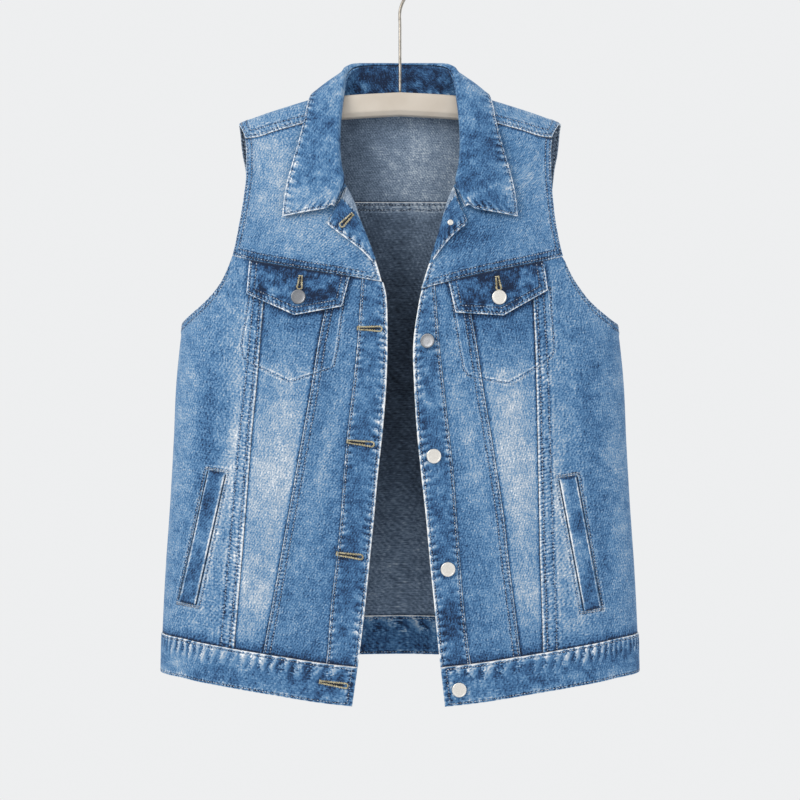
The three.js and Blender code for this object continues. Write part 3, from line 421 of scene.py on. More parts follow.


# How an edge of a piece is finished: its felled or turned band, its stitch rows (near and far), the
# puckers the stitches draw up, how white it is worn, the painted shadow where it lies under the next
# piece, and how much darker its band is than the cloth beside it
BOTH, ONE = ("near", "far"), ("near",)
EDGE_COLUMNS = ("band", "rows", "rope", "pitch", "reach", "worn", "seam_shadow", "dim")
EDGES = {name: dict(zip(EDGE_COLUMNS, values)) for name, values in {
    "plain": (0, (), 0.08, 7, 8, 0, 0.8, 0),
    "flush": (0, (), 0.05, 7, 6, 0, 0.2, 0),
    "under": (0, (), 0.25, 6, 8, 0, 0.8, 0),
    "hidden": (0, (), 0, 7, 1, 0, 0, 0),
    "fell": (FELL_WIDTH, BOTH, 0.5, 4.8, 12.5, 1, 0, 0.04),
    "hem": (HEM_WIDTH, BOTH, 0.4, 5.0, 12, 0.9, 0, 0.11),
    "front": (0, ONE, 0.7, 9.6, 14, 1.5, 0, 0),
    "fold": (0, ONE, 0.3, 7.4, 9, 1.15, 0, 0),
    "seam": (0, ONE, 0.6, 8.4, 12, 0.9, 0, 0),
    "end": (0, ONE, 0.3, 7, 9, 0.5, 0, 0),
    "waist": (0, ONE, 0.8, 9.8, 27, 1.0, 0, 0),
    "low": (0, ONE, 0.4, 5, 8, 0.7, 0, 0),
    "twin": (0, BOTH, 0.65, 5.0, 12, 1.2, 0, 0),
    "welt": (0, (), 0.15, 7, 7, 1.2, 0, 0),
    "collar": (0, ONE, 0.65, 9.2, 15, 1.15, 0, 0),
}.items()}
ROWS = {"near": 2.9, "far": 9.0}
LONG_PITCH = 8.0        # puckers at least this long are modelled, the shorter ones are in the cloth's bump
ROPE_RISE = 0.5
ROPE_LEAN = 0.22
STITCH_SINK = 0.2
EDGE_STEPS = np.array([0.0, 0.3, 0.8, 1.5, 2.4, 3.5])
NARROW = 11.0           # below this width the edge lines draw together
EDGE_REACH = 40.0       # an edge's finish reaches no farther than this
PLAIN_YIELDS = 12.0     # a finished edge this much farther away still wins over a plain one
FIELDS = ("away", "phase", "rope", "worn", "near", "far", "seam_shadow", "dim")
FAR_AWAY = 60.0


def inside_outline(corners, x, drop):
    """Distance inside an outline of corners, negative outside it; the outline bulges all round."""
    corners = np.array(corners, float)
    ahead = np.roll(corners, -1, axis=0)
    middle = corners.mean(axis=0)
    distance = np.full_like(x, FAR_AWAY)
    for (x0, drop0), (x1, drop1) in zip(corners, ahead):
        length = math.hypot(x1 - x0, drop1 - drop0)
        inner = math.copysign(1, (x1 - x0) * (middle[1] - drop0) - (drop1 - drop0) * (middle[0] - x0))
        away = inner * ((x1 - x0) * (drop - drop0) - (drop1 - drop0) * (x - x0)) / length
        distance = np.minimum(distance, away)
    return distance


class Form:
    """A piece of cloth: place(s, t) runs s to the viewer's right and t down, both 0 to 1."""

    def __init__(self, place, edges, thick, out=0.0, seed=0.0, knots=((), ())):
        self.bare, self.edges, self.thick, self.out = place, edges, thick, out
        self.seed, self.knots = seed, knots
        self.limits = {}        # the part of an edge that its finish runs along
        self.grid = np.linspace(0, 1, 41)
        s, t = np.meshgrid(self.grid, self.grid)
        points = place(s, t)
        self.wides = np.linalg.norm(np.diff(points, axis=1), axis=-1).sum(1)
        self.talls = np.linalg.norm(np.diff(points, axis=0), axis=-1).sum(0)

    def width(self, t):
        return np.interp(t, self.grid, self.wides)

    def height(self, s):
        return np.interp(s, self.grid, self.talls)

    def flat(self):
        return float(self.wides.mean()), float(self.talls.mean())

    def distances(self, s, t):
        wide, tall = self.width(t), self.height(s)
        return {
            "start": (s * wide, t * tall), "end": ((1 - s) * wide, t * tall),
            "top": (t * tall, s * wide), "bottom": ((1 - t) * tall, s * wide),
        }

    def finished(self, name, s, t):
        """Whether an edge's finish reaches along to each point."""
        low, high = self.limits.get(name, (-1, 2))
        along = t if name in ("start", "end") else s
        return (along >= low) & (along <= high)

    def fields(self, s, t):
        """What the finished edges give each point: how far the nearest is, and what it does there."""
        made = {name: np.zeros_like(s) for name in FIELDS}
        made["rise"] = np.zeros_like(s)
        made["away"] = np.full_like(s, FAR_AWAY)
        for number, (name, (away, along)) in enumerate(self.distances(s, t).items()):
            kind = EDGES[self.edges[name]]
            finished = self.finished(name, s, t)
            seam_shadow = kind["seam_shadow"] * (1 - ease(0.3, 4.0, away))
            made["seam_shadow"] = np.maximum(made["seam_shadow"], seam_shadow)
            if kind["band"]:
                band = FELL_RISE * (1 - ease(kind["band"], kind["band"] + 1.8, away))
                made["rise"] = np.maximum(made["rise"], band * finished)
                dim = kind["dim"] * (1 - ease(kind["band"] - 0.4, kind["band"] + 1.2, away))
                made["dim"] = np.maximum(made["dim"], dim * finished)
            if not (kind["rows"] or kind["worn"] or kind["rope"]):
                continue
            wobble = (0.22 * np.sin(along / 29 + self.seed + number)
                      + 0.14 * np.sin(along / 11.3 + 2 * self.seed))
            swell = 0.72 + 0.28 * np.sin(along / 17 + 3 * self.seed + number)
            values = {
                "away": away,
                "phase": (along + ROPE_LEAN * away) / kind["pitch"] + wobble,
                "rope": kind["rope"] * swell * (1 - ease(kind["reach"] * 0.35, kind["reach"], away)),
                "worn": kind["worn"] + 0 * s,
                "near": float("near" in kind["rows"]) + 0 * s,
                "far": float("far" in kind["rows"]) + 0 * s,
            }
            plain = self.edges[name] == "plain"
            lead = PLAIN_YIELDS if plain else 0
            nearer = (away < made["away"] - lead) & (away < EDGE_REACH) & finished
            for title, value in values.items():
                made[title] = np.where(nearer, value, made[title])
            if kind["pitch"] >= LONG_PITCH:
                wave = ROPE_RISE * values["rope"] * np.sin(FULL_TURN * values["phase"]) * ease(0, 3.5, away)
                made["rise"] = made["rise"] + np.where(nearer, wave, 0)
            for row in kind["rows"]:
                sink = STITCH_SINK * np.exp(-((away - ROWS[row]) / 1.1) ** 2)
                made["rise"] = made["rise"] - sink * finished
        return made

    def point(self, s, t, layer=1, rim=False):
        """A point of the outer layer (1) or the inner one (-1), with its way out."""
        normal = outward(self.bare, s, t, 0.004, 0.004)
        middle = self.bare(s, t)
        fields = self.fields(s, t)
        nearest = np.min([away for away, _ in self.distances(s, t).values()], axis=0)
        half = self.thick / 2
        edge = np.clip((nearest - SEAM_GAP / 2) / half, 0, 1)
        rounded = np.where(rim, 0, np.sqrt(1 - (1 - edge) ** 2))
        crease = fold_at(CREASES, middle[..., 0], -middle[..., 2], middle[..., 1] < 0)
        lift = self.out + crease
        if layer > 0:
            lift = lift + (half + fields["rise"]) * rounded
        else:
            lift = lift - half * rounded
        return middle + normal * lift[..., None], normal, fields


def panel(start, end, top, bottom, corner_turn=None):
    """The bare surface between two seams, as place(s, t)."""
    def corner(seam, edge):
        drop = edge(np.array(0.5))
        for _ in range(12):
            drop = edge(seam(drop))
        return drop
    top_start, top_end = corner(start, top), corner(end, top)
    bottom_start, bottom_end = corner(start, bottom), corner(end, bottom)

    def place(s, t):
        s, t = np.asarray(s, float), np.asarray(t, float)
        drop_start, drop_end = mix(top_start, bottom_start, t), mix(top_end, bottom_end, t)
        turn = mix(start(drop_start), end(drop_end), s)
        turn_top = mix(start(top_start), end(top_end), s)
        turn_bottom = mix(start(bottom_start), end(bottom_end), s)
        bend = ((1 - t) * (top(turn_top) - mix(top_start, top_end, s))
                + t * (bottom(turn_bottom) - mix(bottom_start, bottom_end, s)))
        return on_body(turn, mix(drop_start, drop_end, s) + bend)
    return place


def in_order(sign, inner, outer):
    return (inner, outer) if sign > 0 else (outer, inner)


def edges_of(start, end, top, bottom):
    return {"start": start, "end": end, "top": top, "bottom": bottom}


def edge_names(sign, inner, outer, top, bottom):
    return edges_of(*in_order(sign, inner, outer), top, bottom)


# Making meshes

def linear(code):
    channels = [int(code[n:n + 2], 16) / 255 for n in (1, 3, 5)]
    return [c / 12.92 if c <= 0.04045 else ((c + 0.055) / 1.055) ** 2.4 for c in channels] + [1.0]


def linked(name, data):
    obj = bpy.data.objects.new(name, data)
    bpy.context.scene.collection.objects.link(obj)
    return obj


def smoothed(mesh):
    mesh.polygons.foreach_set("use_smooth", np.ones(len(mesh.polygons), bool))
    mesh.update()
    return mesh


def piece(name, mesh, materials, nodes=()):
    obj = linked(name, mesh)
    for material in materials:
        mesh.materials.append(material)
    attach(obj, "root")
    if nodes:
        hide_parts(*nodes)
    return obj


def edge_spread(count, index, length):
    """Distances of grid lines along a length: close together at both edges, even between."""
    fine = len(EDGE_STEPS) - 1
    index = np.rint(index * count).astype(int)
    tight = np.minimum(length / NARROW, 1)
    reach = EDGE_STEPS[-1] * tight
    inner = reach + (index - fine) / (count - 2 * fine) * (length - 2 * reach)
    low = EDGE_STEPS[np.clip(index, 0, fine)] * tight
    high = length - EDGE_STEPS[np.clip(count - index, 0, fine)] * tight
    return np.where(index < fine, low, np.where(index > count - fine, high, inner))


def grid_share(count, index, length, knots):
    """Shares of grid lines along a length, with one of them on each knot."""
    gap = SEAM_GAP / 2

    def at(fraction):
        return (gap + edge_spread(count, fraction, length - 2 * gap)) / length
    share = at(index)
    if not knots:
        return share
    lines = [0.0] + [round(knot * count) / count for knot in knots] + [1.0]
    wanted = [at(0 * index)] + [knot + 0 * index for knot in knots] + [at(0 * index + 1)]
    moved = share
    for n in range(len(lines) - 1):
        low, high = at(0 * index + lines[n]), at(0 * index + lines[n + 1])
        between = (index >= lines[n] - 1e-6) & (index <= lines[n + 1] + 1e-6)
        value = wanted[n] + (share - low) * (wanted[n + 1] - wanted[n]) / (high - low)
        moved = np.where(between, value, moved)
    return moved


TURNED_TONE = 0.8


def cloth_mesh(name, form, spacing, wear_and_shade_at, cut=None, turned=None, outlined=False, swap=False):
    """Both faces of a piece, as two grids welded round their rim."""
    wide, tall = form.flat()
    edge_lines = 2 * (len(EDGE_STEPS) - 1)
    columns = 2 * max(int(wide / spacing / 2), 3) + edge_lines
    rows = 2 * max(int(tall / spacing / 2), 3) + edge_lines
    bm = bmesh.new()
    outer = bmesh.ops.create_grid(bm, x_segments=columns, y_segments=rows, size=0.5)["verts"]
    bmesh.ops.create_grid(bm, x_segments=columns, y_segments=rows, size=0.5)
    half = len(bm.faces) // 2
    bm.faces.ensure_lookup_table()
    inner_faces = bm.faces[half:]
    bmesh.ops.reverse_faces(bm, faces=inner_faces)
    for face in inner_faces:
        face.material_index = 1
    flat = np.array([v.co[:] for v in bm.verts])
    i, j = flat[:, 0] + 0.5, 0.5 - flat[:, 1]
    guess = grid_share(rows, j, form.height(i), form.knots[1])
    wides = form.width(guess)
    s = grid_share(columns, i, wides, form.knots[0])
    talls = form.height(s)
    t = grid_share(rows, j, talls, form.knots[1])
    first = np.arange(len(flat)) < len(outer)
    rim = (np.abs(i - 0.5) > 0.5 - 1e-6) | (np.abs(j - 0.5) > 0.5 - 1e-6)
    points = np.zeros((len(flat), 3))
    fields = {title: np.zeros(len(flat)) for title in FIELDS}
    for layer, chosen in ((1, first), (-1, ~first)):
        points[chosen], _, made = form.point(s[chosen], t[chosen], layer, rim[chosen])
        for title in FIELDS:
            fields[title][chosen] = made[title]
    for vertex, place in zip(bm.verts, points * MM):
        vertex.co = place
    mesh = bpy.data.meshes.new(name)
    bm.to_mesh(mesh)
    bm.free()
    fields["wear_and_shade"] = wear_and_shade_at(points[:, 0], -points[:, 2], points[:, 1] < 0, first)
    fields["outline"] = np.full(len(flat), -FAR_AWAY)
    fields["cast_shadow"] = np.zeros(len(flat))
    if outlined:
        for corners in OUTLINES:
            inside = inside_outline(corners, points[:, 0], -points[:, 2])
            fields["outline"] = np.maximum(fields["outline"], inside)
        for corners, reach in SHADOW_CASTERS:
            inside = inside_outline(corners, points[:, 0], -points[:, 2])
            fields["cast_shadow"] = np.maximum(fields["cast_shadow"], ease(-reach, 0, inside) * first)
    if turned:
        for index in np.flatnonzero(first):
            if turned(s[index], t[index]):
                fields["wear_and_shade"][index] = TURNED_TONE
    for title, values in fields.items():
        mesh.attributes.new(title, "FLOAT", "POINT").data.foreach_set("value", values.astype(np.float32))
    corners = np.zeros(len(mesh.loops), int)
    mesh.loops.foreach_get("vertex_index", corners)
    uv = np.stack([t * talls, s * wides] if swap else [s * wides, (1 - t) * talls], -1) * MM
    mesh.uv_layers.new(name="cloth").data.foreach_set("uv", uv[corners].ravel())
    bm = bmesh.new()
    bm.from_mesh(mesh)
    bm.verts.ensure_lookup_table()

    def middle(face):
        at = [vertex.index for vertex in face.verts]
        return s[at].mean(), t[at].mean()
    if turned:
        for face in bm.faces:
            if turned(*middle(face)):
                face.material_index = 1
    if cut:
        gone = [face for face in bm.faces if cut(*middle(face))]
        bmesh.ops.delete(bm, geom=gone, context="FACES")
    bmesh.ops.remove_doubles(bm, verts=[v for v in bm.verts if v.is_boundary], dist=1e-5)
    bm.to_mesh(mesh)
    bm.free()
    return smoothed(mesh)


SEWN = []


def sew_edge(form, side, away, layer=1):
    """A row of stitches along one edge of a piece, away from it, stopping at the next edge's row."""
    wide, tall = form.flat()
    length = tall if side in ("start", "end") else wide
    along = np.linspace(0, 1, max(int(length / 1.5), 8))
    if side in ("start", "end"):
        share = away / form.width(along)
        s, t = (share if side == "start" else 1 - share), along
    else:
        share = away / form.height(along)
        s, t = along, (share if side == "top" else 1 - share)
    kept = form.finished(side, s, t)
    for name, (distance, _) in form.distances(s, t).items():
        if name != side:
            kept &= distance > (away if EDGES[form.edges[name]]["rows"] else 0.8) - 0.2
    if kept.sum() > 3:
        points, normals, _ = form.point(s[kept], t[kept], layer)
        SEWN.append((points, normals * layer))


FRONT_CLOTH = []


def cloth(name, form, slot, materials, nodes, wear_and_shade_at, spacing=2.4, **ways):
    obj = piece(name, cloth_mesh(name, form, spacing, wear_and_shade_at, **ways), materials, nodes)
    for side, kind in form.edges.items():
        for row in EDGES[kind]["rows"]:
            sew_edge(form, side, ROWS[row])
    return obj


# Worn and shaded places: how much paler than its piece a place is (darker where negative), on the front,
# the back or the inside, or on the front waistbands or the tapered panels alone. Most rows are wear and
# fades; the rows named below as painted shade or painted light stand in for light falling on the cloth
FRONT, BACK, INSIDE, WAIST, TAPER = 1, 0, -1, 2, 3
WEAR_AND_SHADE_ROWS = table(
    "x drop wide tall lean pale where",
    # the yokes; their dark rows are painted shade under the collar and the left lapel
    (-140, 262, 36, 60, 0.1, 0.16, FRONT), (-70, 325, 44, 24, 0, 0.06, FRONT),
    (-168, 218, 20, 26, 0, 0.08, FRONT), (-100, 250, 18, 30, 0, -0.10, FRONT),
    (140, 262, 36, 60, -0.1, 0.09, FRONT), (64, 330, 30, 30, 0, -0.14, FRONT),
    (100, 320, 50, 20, 0, -0.08, FRONT), (100, 240, 34, 60, 0, -0.14, FRONT),
    # the tapered panels and the seams beside them
    (-138, 590, 27, 130, -0.12, 0.08, FRONT), (-132, 508, 26, 26, 0, 0.03, FRONT),
    (-146, 600, 70, 105, -0.12, 0.25, TAPER), (-165, 742, 60, 42, -0.12, 0.23, TAPER),
    (128, 580, 27, 130, 0.12, 0.10, FRONT), (126, 510, 26, 28, 0, 0.10, FRONT),
    (136, 600, 70, 105, 0.08, 0.25, TAPER), (146, 742, 60, 42, 0.08, 0.23, TAPER),
    (-190, 560, 8, 110, -0.06, 0.12, FRONT),
    (-184, 690, 10, 70, -0.05, 0.12, FRONT), (-90, 600, 12, 120, -0.22, 0.14, FRONT),
    (183, 640, 9, 120, 0.03, 0.16, FRONT), (88, 600, 10, 120, 0.2, 0.14, FRONT),
    (62, 540, 16, 150, 0.05, 0.08, FRONT), (-24, 500, 10, 60, 0, 0.06, FRONT),
    # the felled seams beside and above the flaps, which stay dark
    (-164, 430, 6, 50, -0.1, -0.14, FRONT), (-82, 425, 6, 46, -0.2, -0.14, FRONT),
    (161, 430, 6, 50, 0.03, -0.14, FRONT), (78, 425, 6, 46, 0.18, -0.14, FRONT),
    (-166, 349, 20, 6, 0, -0.16, FRONT), (-126, 356, 24, 6, 0, -0.18, FRONT),
    (-86, 363, 22, 6, 0, -0.18, FRONT), (160, 348, 20, 6, 0, -0.16, FRONT),
    (120, 357, 24, 6, 0, -0.18, FRONT), (80, 366, 22, 6, 0, -0.18, FRONT),
    # round the hand pockets and the sides
    (-208, 640, 9, 100, -0.2, 0.12, FRONT), (200, 700, 8, 60, 0.1, 0.14, FRONT),
    (-243, 560, 14, 120, -0.1, 0.06, FRONT), (-225, 560, 14, 90, -0.1, -0.18, FRONT),
    (248, 600, 12, 130, 0.05, 0.06, FRONT), (222, 560, 16, 110, 0.1, -0.10, FRONT),
    (-246, 690, 14, 60, 0, -0.10, FRONT), (238, 700, 14, 70, 0, -0.10, FRONT),
    (-232, 470, 12, 24, 0.5, -0.10, FRONT), (234, 470, 12, 24, -0.5, -0.10, FRONT),
    # below the flaps, where the two wide dark rows are the flaps' painted shadow, and at the pockets' tips
    (-120, 425, 60, 24, 0, -0.06, FRONT), (115, 425, 60, 24, 0, -0.08, FRONT),
    (-150, 480, 20, 10, 0.4, 0.12, FRONT), (-108, 484, 16, 10, -0.4, 0.12, FRONT),
    (112, 486, 22, 10, 0.3, 0.12, FRONT), (-128, 486, 3, 10, 0.3, 0.16, FRONT),
    (-120, 487, 2.5, 9, 0.2, -0.14, FRONT), (116, 487, 3, 9, -0.3, 0.14, FRONT),
    # dark creases at the plackets' feet
    (-60, 700, 16, 40, 0, -0.12, FRONT), (-58, 620, 8, 40, 0, -0.14, FRONT),
    (66, 640, 10, 70, 0.1, -0.10, FRONT), (52, 770, 20, 26, 0, -0.12, FRONT),
    (-66, 780, 22, 20, 0, -0.10, FRONT),
    # the flaps; the dark row along the right flap's top is painted shadow under the yoke's seam
    (-154, 374, 9, 5, -0.3, 0.16, FRONT), (-141, 391, 12, 6, 0.3, 0.16, FRONT),
    (-95, 384, 12, 6, -0.4, 0.16, FRONT), (-140, 366, 22, 4, 0, -0.10, FRONT),
    (-93, 397, 12, 5, 0, -0.08, FRONT), (-158, 383, 6, 6, 0, -0.08, FRONT),
    (150, 376, 10, 5, 0.3, 0.14, FRONT), (88, 386, 12, 6, 0.4, 0.16, FRONT),
    (138, 393, 12, 6, -0.3, 0.14, FRONT), (92, 398, 10, 5, 0, -0.08, FRONT),
    # the collar's tips and the waistband
    (-80, 281, 7, 8, 0, 0.2, FRONT), (82, 281, 7, 8, 0, 0.16, FRONT),
    (-100, 292, 16, 6, 0, -0.08, FRONT), (100, 292, 16, 6, 0, -0.08, FRONT),
    (-205, 806, 66, 15, 0, 0.23, WAIST), (-165, 815, 34, 12, 0, 0.06, WAIST),
    (-90, 846, 40, 16, 0, -0.08, WAIST), (180, 804, 70, 14, 0, 0.16, WAIST),
    (110, 812, 40, 12, 0, 0.10, WAIST),
    # the back, outside and inside; inside, a pale line along the yoke's seam, then painted light and shade:
    # lighter on the inside yoke and low down, painted shade down the middle and at one side of the yoke
    (0, 500, 120, 190, 0, 0.2, BACK), (-140, 260, 60, 50, 0, 0.16, BACK),
    (130, 260, 60, 50, 0, 0.16, BACK), (-170, 640, 40, 160, 0, 0.12, BACK),
    (170, 640, 40, 160, 0, 0.12, BACK), (0, 150, 60, 16, 0, -0.1, BACK),
    (26, 240, 60, 60, 0, 0.16, INSIDE), (-70, 240, 40, 90, 0, -0.10, INSIDE),
    (10, 287, 110, 5, 0, 0.18, INSIDE), (0, 490, 44, 130, 0, -0.17, INSIDE),
    (10, 710, 70, 80, 0, 0.16, INSIDE), (40, 340, 30, 40, 0, 0.10, INSIDE),
)
HOLE_SHADE_DEPTH = 0.16        # painted shade round a buttonhole
HOLE_SHADE = 6.0
FOOT_DARK = 0.18        # the panels are darker for this far above the waistband's seam
FOOT_REACH = 15.0


def wear_and_shade(base, inside=0.5, own=FRONT):
    def wear_and_shade_at(x, drop, front, outer):
        pale = np.where(outer, base, inside)
        place = np.where(outer, np.where(front, FRONT, BACK), INSIDE)
        turn = turn_to(x, drop)
        below = drop - waist_seam(np.where(front, turn, math.pi - turn))
        pale = pale - outer * FOOT_DARK * ease(-FOOT_REACH, -3, below) * (below < 0)
        for n in range(len(WEAR_AND_SHADE_ROWS["x"])):
            row = {name: column[n] for name, column in WEAR_AND_SHADE_ROWS.items()}
            over = (x - row["x"] - row["lean"] * (drop - row["drop"])) / row["wide"]
            down = (drop - row["drop"]) / row["tall"]
            there = place == (FRONT if row["where"] == own else row["where"])
            pale = pale + there * row["pale"] * np.exp(-over ** 2 - down ** 2)
        # Painted shade round each buttonhole
        for (x0, drop0), (x1, drop1) in BUTTONHOLES:
            half = math.hypot(x1 - x0, drop1 - drop0) / 2
            way_x, way_drop = (x1 - x0) / 2 / half, (drop1 - drop0) / 2 / half
            from_x, from_drop = x - (x0 + x1) / 2, drop - (drop0 + drop1) / 2
            along = (from_x * way_x + from_drop * way_drop) / (half + HOLE_SHADE)
            beside = (from_x * way_drop - from_drop * way_x) / HOLE_SHADE
            pale = pale - (place == FRONT) * HOLE_SHADE_DEPTH * np.exp(-along ** 4 - beside ** 2)
        return pale
    return wear_and_shade_at


# Materials

def node(tree, kind, links=None, **settings):
    """Adds a node with its settings, and links its inputs from other nodes' outputs."""
    made = tree.nodes.new(kind)
    for name, value in settings.items():
        if name.startswith("in_"):
            made.inputs[int(name[3:])].default_value = value
        else:
            setattr(made, name, value)
    for name, source in (links or {}).items():
        tree.links.new(source, made.inputs[name])
    return made


def set_inputs(made, values):
    for name, value in values.items():
        made.inputs[name].default_value = value
    return made


def new_material(name):
    material = bpy.data.materials.new(name)
    material.use_nodes = True
    material.node_tree.nodes.clear()
    return material, material.node_tree


def set_ramp(ramp_node, stops):
    ramp = ramp_node.color_ramp
    while len(ramp.elements) < len(stops):
        ramp.elements.new(0.5)
    for element, (place, code) in zip(ramp.elements, stops):
        element.position = place
        element.color = linear(code)


TWILL = 2.9 * MM        # real twill is about 0.7 mm a line: drawn coarser so that it shows
SLUB = 1.7 * MM         # width of an uneven warp thread
SPECK = 1.9 * MM        # worn specks where the white weft shows
CLOUD = 42 * MM         # uneven washing over a whole panel
PATCH = 12 * MM         # blotches in the doubled bands
STITCH_PITCH = 3.4      # one stitch and the step to the next
BUMP = 0.9 * MM


def denim(name, stops, wear=1.0, rope=1.0, grain=1.0, mottle=1.0, band=0.04, across=False):
    """Washed cotton twill: matt, pale where rubbed, uneven along the warp, with worn white edges."""
    material, tree = new_material(name)
    shader = set_inputs(node(tree, "ShaderNodeBsdfPrincipled"), {
        "Roughness": 0.9, "Sheen Weight": 0.12, "Sheen Roughness": 0.5, "Specular IOR Level": 0.2})
    coordinates = node(tree, "ShaderNodeTexCoord")
    uv = coordinates.outputs["UV"]
    place = coordinates.outputs["Object"]
    field = {title: node(tree, "ShaderNodeAttribute", attribute_name=title).outputs["Fac"]
             for title in FIELDS + ("wear_and_shade", "outline", "cast_shadow")}

    def noise(vector, scale, detail, stretch=(1, 1, 1), rough=0.55):
        mapped = node(tree, "ShaderNodeMapping", {0: vector}, in_3=stretch)
        made = node(tree, "ShaderNodeTexNoise", {0: mapped.outputs[0]})
        return set_inputs(made, {"Scale": scale, "Detail": detail, "Roughness": rough}).outputs["Fac"]

    def calc(operation, first, second=0.0, clamp=False):
        made = node(tree, "ShaderNodeMath", operation=operation, use_clamp=clamp)
        for number, value in enumerate((first, second)):
            if isinstance(value, (int, float)):
                made.inputs[number].default_value = value
            else:
                tree.links.new(value, made.inputs[number])
        return made.outputs[0]

    def centred(value, amount):
        return calc("MULTIPLY", calc("SUBTRACT", value, 0.5), amount)

    def total(*values):
        result = values[0]
        for value in values[1:]:
            result = calc("ADD", result, value)
        return result

    def ridge(value, middle, width):
        """1 at the middle, falling softly to 0 a width away."""
        apart = calc("DIVIDE", calc("ABSOLUTE", calc("SUBTRACT", value, middle)), width)
        return calc("SUBTRACT", 1.0, calc("SMOOTH_MIN", apart, 1.0), clamp=True)

    twill_place = node(tree, "ShaderNodeMapping", {0: uv}, in_2=(0, 0, math.radians(27)))
    twill = node(tree, "ShaderNodeTexWave", {0: twill_place.outputs[0]}, bands_direction="X")
    set_inputs(twill, {"Scale": 1 / TWILL / math.pi, "Distortion": 0.6, "Detail": 2, "Detail Scale": 2.0})

    def streak(scale, long):
        """Uneven threads: the warp shows on the face, the weft on the back."""
        return noise(uv, scale, 2, (long, 1, 1) if across else (1, long, 1))

    warp = streak(1 / SLUB, 0.10)
    fine_warp = streak(2 / SLUB, 0.26)
    weft = noise(uv, 1 / SLUB, 2, (1, 0.14, 1) if across else (0.14, 1, 1))
    speck = noise(uv, 1 / SPECK, 1, rough=0.7)
    cloud = noise(place, 1 / CLOUD, 3, rough=0.6)
    patch = noise(place, 1 / PATCH, 3, rough=0.62)

    # Puckers the stitches draw up: dark between, pale on the crests
    turns = total(field["phase"], centred(patch, 1.2), centred(speck, 0.8))
    wave = calc("SINE", calc("MULTIPLY", turns, FULL_TURN))
    puckers = calc("MULTIPLY", calc("MULTIPLY", wave, field["rope"]), calc("ADD", patch, 0.45))
    # The stitch rows lie in speckled grooves darkened with painted shade, with a pale line beside them
    near_row = calc("MULTIPLY", ridge(field["away"], ROWS["near"], 1.8), field["near"])
    far_row = calc("MULTIPLY", ridge(field["away"], ROWS["far"], 1.8), field["far"])
    groove = calc("MAXIMUM", near_row, far_row)
    near_side = calc("MULTIPLY", ridge(field["away"], ROWS["near"] + 2.1, 1.2), field["near"])
    far_side = calc("MULTIPLY", ridge(field["away"], ROWS["far"] + 2.4, 1.4), field["far"])
    beside = calc("MAXIMUM", near_side, far_side)
    sewn = ridge(field["outline"], 0.0, 1.6)
    groove = calc("MAXIMUM", groove, sewn)
    beside = calc("MAXIMUM", beside, calc("MULTIPLY", ridge(field["outline"], 2.1, 1.4), 2.0))
    beside = calc("MAXIMUM", beside, ridge(field["outline"], -2.4, 1.8))
    reached = calc("DIVIDE", field["away"], field["worn"])
    edge_line = node(tree, "ShaderNodeMapRange", {0: reached}, in_1=0.7, in_2=2.0, in_3=0.36 * wear, in_4=0.0)
    edge_worn = calc("MULTIPLY", field["worn"], calc("ADD", patch, 0.5))
    edge_line = calc("MULTIPLY", edge_line.outputs[0], edge_worn)
    band_wear = node(tree, "ShaderNodeMapRange", {0: field["away"]}, in_1=0.0, in_2=13.0, in_3=band, in_4=0.0)
    band_wear = calc("MULTIPLY", band_wear.outputs[0], calc("MULTIPLY", field["worn"], wear))

    # The tone also paints shade: the shadow under an overlapping piece, round the flaps and welts, and in the
    # stitch rows' grooves
    tone = total(
        field["wear_and_shade"], centred(cloud, 0.30 * mottle), centred(patch, 0.38 * mottle),
        centred(warp, 0.42 * grain), centred(fine_warp, 0.46 * grain),
        centred(weft, 0.26 * grain), centred(speck, 0.66 * grain),
        centred(twill.outputs["Fac"], 0.09 * grain), calc("MULTIPLY", puckers, 0.36 * rope),
        calc("MULTIPLY", groove, centred(speck, 2.0)), calc("MULTIPLY", groove, -0.23),
        calc("MULTIPLY", beside, calc("MULTIPLY", patch, 0.26)), calc("MULTIPLY", field["seam_shadow"], -0.38),
        calc("MULTIPLY", field["cast_shadow"], -0.26), calc("MULTIPLY", field["dim"], -1.0), edge_line, band_wear)
    ramp = node(tree, "ShaderNodeValToRGB", {0: tone})
    set_ramp(ramp, stops)
    tree.links.new(ramp.outputs[0], shader.inputs["Base Color"])

    relief = total(calc("MULTIPLY", twill.outputs["Fac"], 0.12), calc("MULTIPLY", warp, 0.30),
                   calc("MULTIPLY", speck, 0.25), calc("MULTIPLY", puckers, 0.5),
                   calc("MULTIPLY", groove, -0.35))
    bump = node(tree, "ShaderNodeBump", {"Height": relief})
    set_inputs(bump, {"Strength": 0.6, "Distance": BUMP})
    tree.links.new(bump.outputs[0], shader.inputs["Normal"])
    output = node(tree, "ShaderNodeOutputMaterial")
    tree.links.new(shader.outputs[0], output.inputs[0])
    return material


BLUE = ((0.0, "#12223b"), (0.2, "#284970"), (0.4, "#446f99"), (0.55, "#688cae"), (0.7, "#93a6b9"),
        (0.85, "#b8c1cb"), (1.0, "#e6e9ec"))
GREY = ((0.0, "#171e28"), (0.3, "#333f4f"), (0.55, "#526276"), (0.8, "#77899e"), (1.0, "#b4bfca"))
face = denim("washed denim", BLUE, grain=1.2)
band_face = denim("doubled denim", BLUE, wear=1.1, rope=1.15, mottle=2.1)
dark_face = denim("dark denim kept from the wash", BLUE, wear=1.2, rope=1.1, mottle=3.5, band=0.12)
reverse = denim("reverse side of the denim", GREY, wear=0.6, rope=1.1, band=0.10, across=True)
PANEL_LOOK = (face, reverse)
BAND_LOOK = (band_face, band_face)
FLAP_LOOK = (dark_face, dark_face)
STAND_LOOK = (band_face, dark_face)
LAPEL_LOOK = (band_face, reverse)


